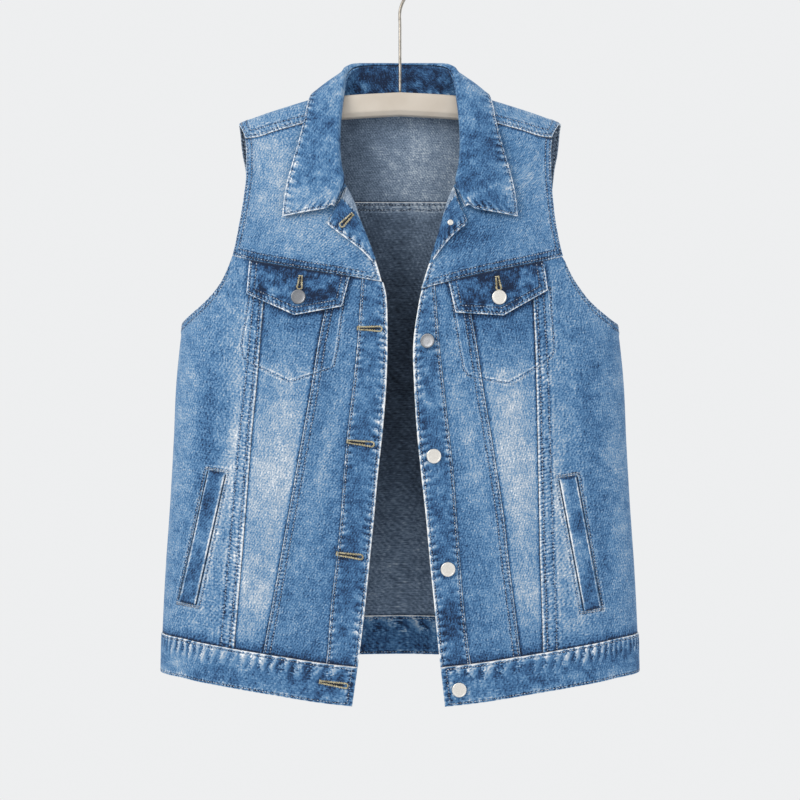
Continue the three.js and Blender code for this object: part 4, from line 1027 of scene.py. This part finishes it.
def plain_material(name, code, roughness, metallic=0.0, patch_scale=None, patch_code=None, bump=0.0):
    material, tree = new_material(name)
    shader = set_inputs(node(tree, "ShaderNodeBsdfPrincipled"), {
        "Base Color": linear(code), "Roughness": roughness, "Metallic": metallic})
    if patch_scale:
        coordinates = node(tree, "ShaderNodeTexCoord")
        made = node(tree, "ShaderNodeTexNoise", {0: coordinates.outputs["Object"]})
        set_inputs(made, {"Scale": patch_scale, "Detail": 4})
        ramp = node(tree, "ShaderNodeValToRGB", {0: made.outputs["Fac"]})
        set_ramp(ramp, ((0.35, code), (0.65, patch_code)))
        tree.links.new(ramp.outputs[0], shader.inputs["Base Color"])
        if bump:
            relief = node(tree, "ShaderNodeBump", {"Height": made.outputs["Fac"]})
            set_inputs(relief, {"Distance": bump, "Strength": 0.4})
            tree.links.new(relief.outputs[0], shader.inputs["Normal"])
    output = node(tree, "ShaderNodeOutputMaterial")
    tree.links.new(shader.outputs[0], output.inputs[0])
    return material


# Cotton topstitching: blue-grey, each stitch faded more or less, so a row reads as beads
blue_thread = plain_material("faded blue cotton thread", "#33475f", 0.8, 0.0, 260, "#c3ccd5")
# Cotton buttonhole twist: a soft tan with dark gaps between its satin stitches
tan_thread = plain_material("tan buttonhole thread", "#8b7f5c", 0.75, 0.0, 500, "#ddd3ae")
# Pressed nickel caps: nearly white with a fine satin grain; two of them get a darker copy, a painted
# reflection of something dark
button_metal = plain_material("satin nickel", "#dedad3", 0.42, 1.0, 900, "#ece8e1", 0.00005)
dark_reflection_metal = plain_material("nickel darkened for a painted reflection", "#7c7f84", 0.42, 1.0, 900, "#8a8c90", 0.00005)
# Drawn steel wire: a bright, slightly warm grey
hook_metal = plain_material("bright steel wire", "#7f7a72", 0.3, 1.0, 200, "#9c978f")
# Painted beech: warm cream with a faint unevenness
hanger_paint = plain_material("cream painted beech", "#b9afa2", 0.45, 0.0, 30, "#c2b9ad", 0.0002)
slit_dark = plain_material("shadow in a slit", "#101722", 0.9, 0.0, 400, "#1a2536")


# The two fronts

OWN_ROWS = {"taper": TAPER, "waist": WAIST}


def sewn_front(side, sign):
    def seam(column):
        return long_seam(side, sign, column)

    def neckline(drop):
        return turn_to(sign * read(NECK, "drop", side, drop), drop)

    def side_edge(drop):
        return np.full_like(drop, sign * SIDE_TURN)

    yoke_seam = by_distance(YOKE_SEAM, side)
    armhole = armhole_turn(ARMHOLE, side, sign, False)
    top_edge = armhole_drop(armhole, 340.0)
    # The left front is painted a little darker: painted shade on the side turned from the light
    shade = 0.0 if sign < 0 else -0.03

    def side_top(turn):
        return np.maximum(yoke_seam(turn), top_edge(turn))

    parts = (
        ("yoke", "front_yoke", neckline, armhole, by_distance(SHOULDER_SEAM, "drop"), yoke_seam,
         ("fold", "hem", "plain", "fell"), False, 0.47),
        ("side", "side_panel", seam("outer"), side_edge, side_top, waist_seam,
         ("fell", "plain", "hem", "plain"), False, 0.5),
        ("taper", "taper_panel", seam("inner"), seam("outer"), yoke_seam, waist_seam,
         ("plain", "plain", "plain", "plain"), False, 0.40),
        ("front", "front_panel", seam("placket"), seam("inner"), yoke_seam, waist_seam,
         ("flush", "fell", "plain", "plain"), False, 0.39 if sign < 0 else 0.43),
        ("front_band", "placket", seam("edge"), seam("placket"), yoke_seam, waist_seam,
         ("front", "seam", "plain", "plain"), True, 0.34),
        ("waist", "waistband", seam("edge"), side_edge, waist_seam, hem_at,
         ("end", "plain", "waist", "low"), True, 0.38),
    )
    for number, (name, solid, inner, outer, top, bottom, kinds, doubled, tone) in enumerate(parts):
        start, end = in_order(sign, inner, outer)
        form = Form(panel(start, end, top, bottom), edge_names(sign, *kinds), DOUBLED if doubled else CLOTH,
                    BAND_OUT if doubled else 0.0, number + sign)
        if name == "yoke":
            form.limits = {"start" if sign > 0 else "end": (LAPEL_END, 1)}
        if name == "side":
            top = np.linspace(0, 1, 201)
            points = form.bare(top, 0 * top)
            open_edge = top[-points[:, 2] > read(YOKE_SEAM, "x", side, np.abs(points[:, 0])) + 1]
            form.limits = {"top": (open_edge[0], open_edge[-1])}
        look = BAND_LOOK if doubled else PANEL_LOOK
        obj = cloth(f"{name}_{side}", form, "denim_band" if doubled else "denim", look, [f"{solid}_{side}"],
                    wear_and_shade(tone + shade, own=OWN_ROWS.get(name, FRONT)), 2.0 if doubled else 2.5,
                    outlined=not doubled)
        FRONT_CLOTH.append(obj)


for side, sign in SIDES:
    sewn_front(side, sign)


# Pieces that lie on the fronts

def front_place(x, drop, out):
    turn = turn_to(x, drop)
    normal = outward(on_body, turn, drop, 0.01, 1.0)
    return on_body(turn, drop) + normal * np.asarray(out)[..., None]


def pocket_flap(side, sign):
    rows = FLAP[side]
    top = rows["top"]
    if sign > 0:
        low_x, low_drop, flap_x = rows["low"], rows["drop"], top
    else:
        low_x, low_drop, flap_x = rows["low"][::-1], rows["drop"][::-1], top[::-1]

    def place(s, t):
        s, t = both(s, t)
        knots = np.array([0, 0.5, 1])
        x_top = flap_x[0] + (flap_x[-1] - flap_x[0]) * s
        x_low = np.interp(s, knots, low_x)
        drop_top = read(YOKE_SEAM, "x", side, x_top) + SEAM_GAP
        drop_low = np.interp(s, knots, low_drop)
        x, drop = mix(x_top, x_low, t), mix(drop_top, drop_low, t)
        return front_place(sign * x, drop, mix(FLAP_OUT[0], FLAP_OUT[1], t))
    edges = edges_of("twin", "twin", "under", "twin")
    form = Form(place, edges, FLAP_THICK, 0, 6 + sign, ((0.5,), ()))
    obj = cloth(f"flap_{side}", form, "denim_band", FLAP_LOOK, [f"pocket_flap_{side}"],
                wear_and_shade(0.21 if sign < 0 else 0.12), 1.9)
    FRONT_CLOTH.append(obj)


def hand_welt(side, sign):
    (top_x, top_drop), (low_x, low_drop) = WELT[side]["top"], WELT[side]["bottom"]

    def place(s, t):
        s, t = both(s, t)
        x = sign * mix(top_x, low_x, t) + (s - 0.5) * WELT_WIDTH
        drop = mix(top_drop, low_drop, t) - sign * (2 * s - 1) * WELT_SLOPE
        return front_place(x, drop, CLOTH / 2 + SEAM_GAP + WELT_THICK / 2 + 0 * s)
    edges = edges_of("welt", "welt", "plain", "plain")
    form = Form(place, edges, WELT_THICK, 0, 8 + sign)
    obj = cloth(f"welt_{side}", form, "denim_band", BAND_LOOK, [f"hand_welt_{side}"], wear_and_shade(0.33), 1.9)
    FRONT_CLOTH.append(obj)


ROLL_SHARE = 0.14       # part of a lapel's width taken up by its rolled fold


def lapel(side, sign):
    rows = dict(LAPEL[side])
    rows["row"] = np.arange(len(rows["roll_x"]), dtype=float)
    last = rows["row"][-1]

    def place(s, t):
        s, t = both(s, t)
        share = s if sign > 0 else 1 - s
        at = t * last
        x = mix(read(rows, "row", "roll_x", at), read(rows, "row", "edge_x", at), share)
        drop = mix(read(rows, "row", "roll_drop", at), read(rows, "row", "edge_drop", at), share)
        rolled = np.clip(share / ROLL_SHARE, 0, 1)
        out = LAPEL_OUT * np.sqrt(1 - (1 - rolled) ** 2)
        cap = CAP_LIFT * np.exp(-(np.hypot(x - LAPEL_BUTTON[0], drop - LAPEL_BUTTON[1]) / 16) ** 4)
        return front_place(sign * x, drop, out + cap * ease(0, 0.3, share))

    def facing(s, t):
        """The strip of reverse cloth between the fold and the facing's edge."""
        share = s if sign > 0 else 1 - s
        strip = np.interp(t, (0, 0.2, 0.4, 0.62), (0.45, 0.26, 0.2, 0))
        return share < (strip if sign < 0 else strip * 0.6)
    kinds = ("hidden", "front", "front", "hidden")
    form = Form(place, edge_names(sign, *kinds), DOUBLED - SEAM_GAP, 0, 9 + sign)
    obj = cloth(f"turned_lapel_{side}", form, "denim_band", LAPEL_LOOK, [f"lapel_{side}"], wear_and_shade(0.30), 1.6,
                turned=facing)
    FRONT_CLOTH.append(obj)


for side, sign in SIDES:
    pocket_flap(side, sign)
    hand_welt(side, sign)
    lapel(side, sign)


# The back

def around_top(turn):
    turn = np.asarray(turn, float)
    reach = np.minimum(turn, FULL_TURN - turn)
    edges = [armhole_turn(BACK_ARMHOLE, side, 1, True) for side, _ in SIDES]
    drops = [armhole_drop(edge, BACK_YOKE_SEAM)(reach) for edge in edges]
    return np.maximum(BACK_YOKE_SEAM, np.where(np.sin(turn) > 0, drops[1], drops[0]))


def side_start(drop):
    return np.full_like(drop, SIDE_TURN)


def side_end(drop):
    return np.full_like(drop, FULL_TURN - SIDE_TURN)


form = Form(panel(side_start, side_end, around_top, waist_seam),
            edges_of("plain", "plain", "fell", "plain"), CLOTH, seed=2.5)
# Its inner face's tone is lower than inside the yoke: painted shade inside the back
cloth("lower_back", form, "denim", PANEL_LOOK, ["back_panel"], wear_and_shade(0.46, 0.55), 2.9)
sew_edge(form, "top", ROWS["near"], -1)
sew_edge(form, "top", ROWS["far"], -1)

form = Form(panel(side_start, side_end, waist_seam, hem_at),
            edges_of("plain", "plain", "waist", "low"), DOUBLED, BAND_OUT, 3.3)
cloth("waist_back", form, "denim_band", BAND_LOOK, ["waistband_back"], wear_and_shade(0.38, 0.22), 2.1)
sew_edge(form, "top", ROWS["near"], -1)
sew_edge(form, "bottom", ROWS["near"], -1)

NECK_SIDE = 99.0
YOKE_HALF = 181.0
NECK_CUT = table("x run", (0, -24.5), (30, -24), (60, -20.5), (82, -14), (93, -8), (99, -4))
RIDGE = 0.75            # share of the back yoke's height behind the shoulder line
NECK_KNOTS = ((YOKE_HALF - NECK_SIDE) / (2 * YOKE_HALF), (YOKE_HALF + NECK_SIDE) / (2 * YOKE_HALF))


class Yoke(Form):
    """The back yoke's grid runs over the shoulders; the neck is cut out of its front part."""

    def distances(self, s, t):
        found = super().distances(s, t)
        wide, tall = self.width(t), self.height(s)
        beyond = np.maximum(NECK_KNOTS[0] - s, s - NECK_KNOTS[1]) * wide
        behind = (RIDGE - t) * tall
        away = np.hypot(np.maximum(beyond, 0), np.maximum(behind, 0))
        found["neck"] = (away, s * wide)
        return found


def yoke_place(s, t):
    s, t = both(s, t)
    across_it = mix(-YOKE_HALF, YOKE_HALF, s)
    distance = np.abs(across_it)
    ridge = read(NECK_CUT, "x", "run", np.minimum(distance, NECK_SIDE))
    bottom = -run_to(distance, BACK_YOKE_SEAM)
    shoulder = np.maximum(distance, NECK_SIDE)
    end = run_to(shoulder, read(SHOULDER_SEAM, "x", "drop", shoulder))
    run = np.where(t < RIDGE, mix(bottom, ridge, t / RIDGE), mix(ridge, end, (t - RIDGE) / (1 - RIDGE)))
    drop = np.maximum(-over_shoulder(across_it, run)[..., 2], BACK_ARMHOLE["drop"][0])
    edge = np.zeros_like(drop)
    for side, sign in SIDES:
        for ahead, rows in ((True, ARMHOLE), (False, BACK_ARMHOLE)):
            chosen = (across_it * sign > 0) & ((run > 0) == ahead)
            edge = np.where(chosen, read(rows, "drop", side, drop), edge)
    spread = np.maximum(distance - NECK_SIDE, 0) / (YOKE_HALF - NECK_SIDE)
    x = np.sign(across_it) * (distance + spread * (edge - YOKE_HALF))
    return over_shoulder(x, run)


def neck_hole(s, t):
    return t > RIDGE and NECK_KNOTS[0] < s < NECK_KNOTS[1]


form = Yoke(yoke_place, {**edges_of("hem", "hem", "plain", "fell"), "neck": "hidden"},
            CLOTH, seed=5.1, knots=(NECK_KNOTS, (RIDGE,)))
# Its inner face's tone is higher than the lower back's: painted light on the inside yoke
cloth("upper_back", form, "denim", PANEL_LOOK, ["back_yoke"], wear_and_shade(0.5, 0.66), 2.6, cut=neck_hole)


# The collar

def around_neck(rows, inner, outer, curl):
    """A strip round the neck from the left front end to the right one, as place(s, t)."""
    def line(key):
        x, ahead, drop = (rows[f"{key}_{part}"] for part in ("x", "ahead", "drop"))
        half = np.stack([x, -ahead, -drop], -1)
        return np.concatenate([half, (half * (-1, 1, 1))[::-1][1:]])
    lines = {"inner": line(inner), "outer": line(outer)}
    count = len(lines["inner"])
    tables = {}
    for key, points in lines.items():
        tables[key] = {"row": np.arange(count, dtype=float), **dict(zip("xyz", points.T))}
    middle = (lines["inner"] + lines["outer"]) / 2
    run = run_along(middle)

    def on_line(key, at):
        return np.stack([read(tables[key], "row", axis, at) for axis in "xyz"], -1)

    def place(s, t):
        s, t = both(s, t)
        at = np.interp(s, run / run[-1], np.arange(count, dtype=float))
        return mix(on_line("inner", at), on_line("outer", at), curl(t)[..., None])
    return place


LEAF_BULGE = 2.5
ROLL_CREST = 3.6
LEAF_ROLL = 0.1         # part of the leaf's depth taken up by its roll over the stand
stand_place = around_neck(STAND, "top", "neck", lambda t: t)
leaf_flat = around_neck(COLLAR, "roll", "edge", lambda t: t)


def leaf_place(s, t):
    s, t = both(s, t)
    normal = outward(leaf_flat, s, np.clip(t, 0.1, 0.9), 0.01, 0.05)
    rolled = np.clip(t / LEAF_ROLL, 0, 1)
    bulge = LEAF_BULGE * np.sin(math.pi * np.clip(t, 0, 1))
    out = bulge + 1.2 * (1 - (1 - rolled) ** 2) * (1 - ease(0.3, 1, t))
    tucked = (stand_place(s, 0 * t + 0.03) - leaf_flat(s, 0 * t)) * ((1 - rolled) ** 1.6)[..., None] * 0.8
    crest = ROLL_CREST * np.exp(-((t - 0.06) / 0.06) ** 2)
    return leaf_flat(s, t) + normal * out[..., None] + tucked + crest[..., None] * np.array((0, 0, 1.0))


form = Form(stand_place, edges_of("plain", "plain", "hidden", "seam"), DOUBLED, 0, 7.7)
# The stand's inner face gets a dark tone: painted shade inside the neck
cloth("collar_band", form, "denim_band", STAND_LOOK, ["collar_stand"], wear_and_shade(0.4, 0.17), 2.1)
form = Form(leaf_place, edges_of("collar", "collar", "hidden", "collar"), DOUBLED, 0, 2.2)
FRONT_CLOTH.append(
    cloth("collar_fall", form, "denim_band", BAND_LOOK, ["collar_leaf"], wear_and_shade(0.43, 0.3), 2.0, swap=True))


# Stitches

def combined_tree():
    corners, faces = [], []
    for obj in FRONT_CLOTH:
        step = len(corners)
        corners.extend(vertex.co[:] for vertex in obj.data.vertices)
        faces.extend([index + step for index in polygon.vertices] for polygon in obj.data.polygons)
    return BVHTree.FromPolygons(corners, faces)


front_tree = combined_tree()


def seat(x, drop):
    """The place on the front's cloth at a distance from the middle and a drop, and its way out."""
    for shift in (0, 0.5, -0.5, 1.0, -1.0):
        start = Vector(((x + shift) * MM, -0.3, -drop * MM))
        place, normal, _, _ = front_tree.ray_cast(start, Vector((0, 1, 0)))
        if place is not None and place.y < 0:
            return np.array(place) / MM, np.array(normal)
    raise ValueError(f"no cloth at {x}, {drop}")


STITCH = 2.1            # seen length of a stitch
STITCH_BREAK = 6.0      # a row stops where its points lie farther apart than this
THREAD = 1.1


def stitch_template():
    bm = bmesh.new()
    bmesh.ops.create_icosphere(bm, subdivisions=1, radius=0.5)
    points = np.array([v.co[:] for v in bm.verts])
    faces = np.array([[v.index for v in f.verts] for f in bm.faces])
    bm.free()
    return points, faces


def thread_mesh(name, stitches):
    """One joined mesh of stitches: each has a middle, a way along, a way out and its sizes."""
    points, faces = stitch_template()
    middles, ways, outs, sizes = (np.array(values) for values in zip(*stitches))
    sides = np.cross(outs, ways)
    local = points[None] * sizes[:, None]
    placed = (middles[:, None] + local[..., :1] * ways[:, None]
              + local[..., 1:2] * sides[:, None] + local[..., 2:] * outs[:, None])
    steps = np.arange(len(stitches))[:, None, None] * len(points)
    mesh = bpy.data.meshes.new(name)
    mesh.from_pydata((placed.reshape(-1, 3) * MM).tolist(), [], (faces[None] + steps).reshape(-1, 3).tolist())
    return smoothed(mesh)


def squared(way, out):
    way = way / max(np.linalg.norm(way), 1e-9)
    out = out - way * out.dot(way)
    return way, out / np.linalg.norm(out)


def stitches_along(points, normals, length=STITCH, pitch=STITCH_PITCH, thick=THREAD):
    steps = np.linalg.norm(np.diff(points, axis=0), axis=1)
    run = np.concatenate([[0], np.cumsum(steps)])
    places = np.arange(pitch / 2, run[-1], pitch)
    places = places[steps[np.searchsorted(run, places) - 1] < STITCH_BREAK]

    def at(distance, values):
        return np.stack([np.interp(distance, run, values[:, n]) for n in range(3)], -1)
    ahead, behind = at(places + length / 2, points), at(places - length / 2, points)
    outs = at(places, normals)
    made = []
    for a, b, out in zip(behind, ahead, outs):
        way, out = squared(b - a, out)
        made.append(((a + b) / 2 + out * 0.1, way, out, (length * 1.1, thick, thick * 0.8)))
    return made


def seated_path(corners, step=1.6):
    """A path over the front's cloth through the corners, as places and ways out."""
    corners = np.array(corners, float)
    run = run_along(corners)
    at = np.linspace(0, run[-1], max(int(run[-1] / step), 2))
    seats = [seat(np.interp(d, run, corners[:, 0]), np.interp(d, run, corners[:, 1])) for d in at]
    places, normals = (np.array(values) for values in zip(*seats))
    return places, normals


def below_flap(corners):
    """The part of an outline that shows below the pocket's flap."""
    places, normals = seated_path(corners)
    under = front_place(places[:, 0], -places[:, 2], np.zeros(len(places)))
    shown = under[:, 1] - places[:, 1] < ON_FLAP
    return places[shown], normals[shown]


ON_FLAP = 3.0           # the panels' seams lie nearer the body than this, the flaps farther
HOLE_HALF = 1.2         # half the width of a buttonhole at its narrow end
EYE_HALF = 2.9
SATIN = 1.25            # one satin stitch to the next
TACK_STITCH = 2.9
TACK_THREAD = 1.7
# How far beyond a welt's two sides its slits lie: farther on the side turned away from the eye
SLIT_OUT = {RIGHT: (1.9, 0.7), LEFT: (0.7, 1.9)}
SLIT_WIDTH = 1.15
TAN_LIFT = 0.3          # the buttonhole stitches' middles stand this far off the cloth
SLIT_LIFT = 0.1
sewn = [stitch for path in SEWN for stitch in stitches_along(*path)]
for side, sign in SIDES:
    sewn.extend(stitches_along(*below_flap(POCKET[side])))
    border = welt_border(side, sign)
    sewn.extend(stitches_along(*seated_path(border + border[:1])))
    for ends, inward in ((border[:2], 1), (border[2:], -1)):
        for row in (0.4, 2.4):
            tack = seated_path([(x, drop + inward * row) for x, drop in ends])
            sewn.extend(stitches_along(*tack, length=TACK_STITCH, thick=TACK_THREAD))


def laid(at, flat_way, lift, size):
    """A stitch or slit on the front's cloth at (x, drop), lying along a flat way."""
    place, out = seat(*at)
    way, out = squared(np.array([flat_way[0], 0, -flat_way[1]]), out)
    return place + out * lift, way, out, size


tan, slits = [], []
for (x0, drop0), (x1, drop1) in BUTTONHOLES:
    begin = np.array((x0, drop0))
    length = math.hypot(x1 - x0, drop1 - drop0)
    along = np.array([(x1 - x0), (drop1 - drop0)]) / length
    square = np.array([-along[1], along[0]])
    for edge in (-1, 1):
        for distance in np.arange(0, length - EYE_HALF, SATIN):
            half = mix(HOLE_HALF, EYE_HALF, distance / length)
            reach = 2.7 + 0.8 * math.sin(distance * 2.9 + edge)
            at = begin + along * distance + square * edge * half
            tan.append(laid(at, square, TAN_LIFT, (reach, 1.15, 1.1)))
    for angle in np.linspace(-math.pi / 2, math.pi / 2, 8):
        ray = along * math.cos(angle) + square * math.sin(angle)
        at = begin + along * (length - EYE_HALF) + ray * EYE_HALF
        tan.append(laid(at, ray, TAN_LIFT, (2.5, 1.2, 1.1)))
    for offset in (-1, 0, 1):
        tan.append(laid(begin + square * offset * 1.4, square, TAN_LIFT, (3.2, 1.1, 1.0)))
    middle = ((x0 + x1) / 2, (drop0 + drop1) / 2)
    slits.append(laid(middle, along, SLIT_LIFT, (length * 1.02, 3.4, 0.7)))
# The slits beside each welt, drawn as short dark beads that touch
for side, sign in SIDES:
    for wider, ends in zip(SLIT_OUT[sign], ((0, 3), (1, 2))):
        corners = welt_corners(side, sign, wider, -1.0)
        path = seated_path([corners[n] for n in ends])
        slits.extend(stitches_along(*path, length=4.6, pitch=3.6, thick=SLIT_WIDTH))

piece("topstitching", thread_mesh("topstitching", sewn), [blue_thread])
piece("buttonhole_stitching", thread_mesh("buttonhole_stitching", tan), [tan_thread])
piece("buttonhole_slits", thread_mesh("buttonhole_slits", slits), [slit_dark])


# Buttons and the hanger: round shapes made from grids

def grid_solid(name, columns, rows, place, material, nodes):
    """A closed shape from a grid: place(u, v) in millimetres, u round it, v along it."""
    bm = bmesh.new()
    bmesh.ops.create_grid(bm, x_segments=columns, y_segments=rows, size=0.5)
    flat = np.array([v.co[:] for v in bm.verts])
    points = place(flat[:, 0] + 0.5, flat[:, 1] + 0.5) * MM
    for vertex, point in zip(bm.verts, points):
        vertex.co = point
    bmesh.ops.remove_doubles(bm, verts=bm.verts, dist=1e-6)
    bmesh.ops.recalc_face_normals(bm, faces=bm.faces)
    for face in bm.faces:
        face.smooth = True
    mesh = bpy.data.meshes.new(name)
    bm.to_mesh(mesh)
    bm.free()
    return piece(name, mesh, [material], nodes)


CAP = table(
    "radius height", (0, -0.4), (3, -0.4), (3, 1.1), (7.6, 1.2), (8.25, 1.5), (8.5, 2.1), (8.3, 2.8),
    (7.8, 3.2), (7.2, 3.25), (6.9, 3.05), (6.6, 2.95), (3, 3.0), (0, 3.05),
)
TACK = table(
    "radius height", (0, -0.4), (3.4, -0.4), (3.4, 0.4), (3.0, 0.9), (2.2, 1.2), (1.2, 1.1), (0, 1.1),
)
TILTS = {"button_1": (-0.34, 0.0, 0.1)}
# Buttons given the darker metal: a painted dark reflection
DARK_REFLECTING = ("button_1", "flap_button_right")


def button(name, profile, x, drop, node_name):
    place, _ = seat(x, drop)
    turn = turn_to(np.array(float(x)), np.array(float(drop)))
    out = outward(on_body, turn, np.array(float(drop)), 0.01, 1.0) + np.array(TILTS.get(node_name, (0, 0, 0)))
    out = out / np.linalg.norm(out)
    over = np.cross(out, (0, 0, 1.0))
    over = over / np.linalg.norm(over)
    up = np.cross(over, out)
    count = len(profile["radius"]) - 1

    def surface(u, v):
        at = v * count
        radius = np.interp(at, np.arange(count + 1), profile["radius"])
        height = np.interp(at, np.arange(count + 1), profile["height"])
        angle = u * FULL_TURN
        return (place + radius[:, None] * (np.cos(angle)[:, None] * over + np.sin(angle)[:, None] * up)
                + height[:, None] * out)
    metal = dark_reflection_metal if node_name in DARK_REFLECTING else button_metal
    grid_solid(name, 40, count, surface, metal, [node_name])


for name, (x, drop) in PLACKET_BUTTONS.items():
    button(f"metal_{name}", CAP, x, drop, name)
for side, sign in SIDES:
    x, drop = FLAP_BUTTONS[side]
    button(f"metal_flap_button_{side}", CAP, sign * x, drop, f"flap_button_{side}")
button("metal_tack", TACK, LAPEL_BUTTON[0], LAPEL_BUTTON[1], "lapel_tack")


def rounded_end(distance, reach):
    near = np.clip(distance / reach, 0, 1)
    return np.sqrt(1 - (1 - near) ** 2)


def bar_place(u, v):
    reach = BAR["x"][-1]
    x = mix(-reach, reach, v)
    size = rounded_end(reach - np.abs(x), 5.0)
    top, height, depth = (read(BAR, "x", part, np.abs(x)) for part in ("top", "height", "depth"))
    corners = np.arange(len(BAR_SECTION["over"]))
    from_top = np.abs(2 * u - 1) * corners[-1]
    over = np.interp(from_top, corners, BAR_SECTION["over"]) * np.sign(u - 0.5)
    up = np.interp(from_top, corners, BAR_SECTION["up"])
    return np.stack([x, over * depth * size, -top - height / 2 * (1 - up * size)], -1)


def hook_line():
    centre = -(HOOK_RADIUS - HOOK_WIRE)
    points = [(0, -BAR["top"][0]), (0, -130), (0, -100), (0, -75), (0, -58), (4, -46)]
    for degrees in range(-45, 196, 20):
        angle = math.radians(degrees)
        points.append((HOOK_RADIUS * math.cos(angle), centre + HOOK_RADIUS * math.sin(angle)))
    points = np.array(points, float)
    run = run_along(points)
    rows = {"run": run, "x": points[:, 0], "z": points[:, 1]}
    return rows, run[-1]


hook_rows, hook_length = hook_line()


def hook_place(u, v):
    at = v * hook_length
    x, z = (read(hook_rows, "run", axis, at) for axis in "xz")
    ahead, behind = (np.stack([read(hook_rows, "run", axis, at + step) for axis in "xz"], -1)
                     for step in (0.5, -0.5))
    way = ahead - behind
    way = way / np.linalg.norm(way, axis=-1, keepdims=True)
    size = HOOK_WIRE * rounded_end(np.minimum(at, hook_length - at), HOOK_WIRE)
    angle = u * FULL_TURN
    side_on, deep = np.cos(angle) * size, np.sin(angle) * size
    return np.stack([x - way[:, 1] * side_on, deep, z + way[:, 0] * side_on], -1)


grid_solid("wooden_bar", 96, 110, bar_place, hanger_paint, ["hanger_bar"])
grid_solid("wire_hook", 16, 150, hook_place, hook_metal, ["hanger_hook"])


# Floor, light and camera

FLOOR = -1.6
FLOOR_RADIUS = 2.4
bm = bmesh.new()
bmesh.ops.create_circle(bm, cap_ends=True, segments=96, radius=FLOOR_RADIUS)
for vertex in bm.verts:
    vertex.co.z = FLOOR
floor_mesh = bpy.data.meshes.new("floor")
bm.to_mesh(floor_mesh)
bm.free()
floor = linked("floor", floor_mesh)
floor_mesh.materials.append(plain_material("pale floor", "#e4e6e8", 0.8))


def soft_light(name, place, target, size, power, tint="#ffffff"):
    light = bpy.data.lights.new(name, "AREA")
    light.size = size
    light.energy = power
    light.color = linear(tint)[:3]
    obj = linked(name, light)
    obj.location = place
    obj.rotation_euler = (Vector(target) - Vector(place)).to_track_quat("-Z", "Y").to_euler()


middle = (0, 0, -0.5)
soft_light("window", (-1.7, -1.5, 0.7), middle, 1.2, 34, "#fffaf4")
soft_light("fill", (1.9, -1.6, 0.1), middle, 1.8, 9, "#f6f9ff")
soft_light("rim", (0.6, 1.6, 0.8), middle, 1.4, 14)
world = bpy.data.worlds.new("pale room")
world.use_nodes = True
set_inputs(world.node_tree.nodes["Background"], {"Color": linear("#f2f3f4"), "Strength": 0.96})
bpy.context.scene.world = world

camera = bpy.data.cameras.new("camera")
camera.sensor_width = SENSOR
camera.lens = SENSOR * CAMERA_REACH / (PIXEL * PICTURE)
camera_object = linked("camera", camera)
camera_object.location = (0, -(CAMERA_REACH + FRONT_PLANE) * MM, -PICTURE_MIDDLE * MM)
camera_object.rotation_euler = (math.pi / 2, 0, 0)
bpy.context.scene.camera = camera_object
bpy.context.scene.view_settings.view_transform = "Standard"
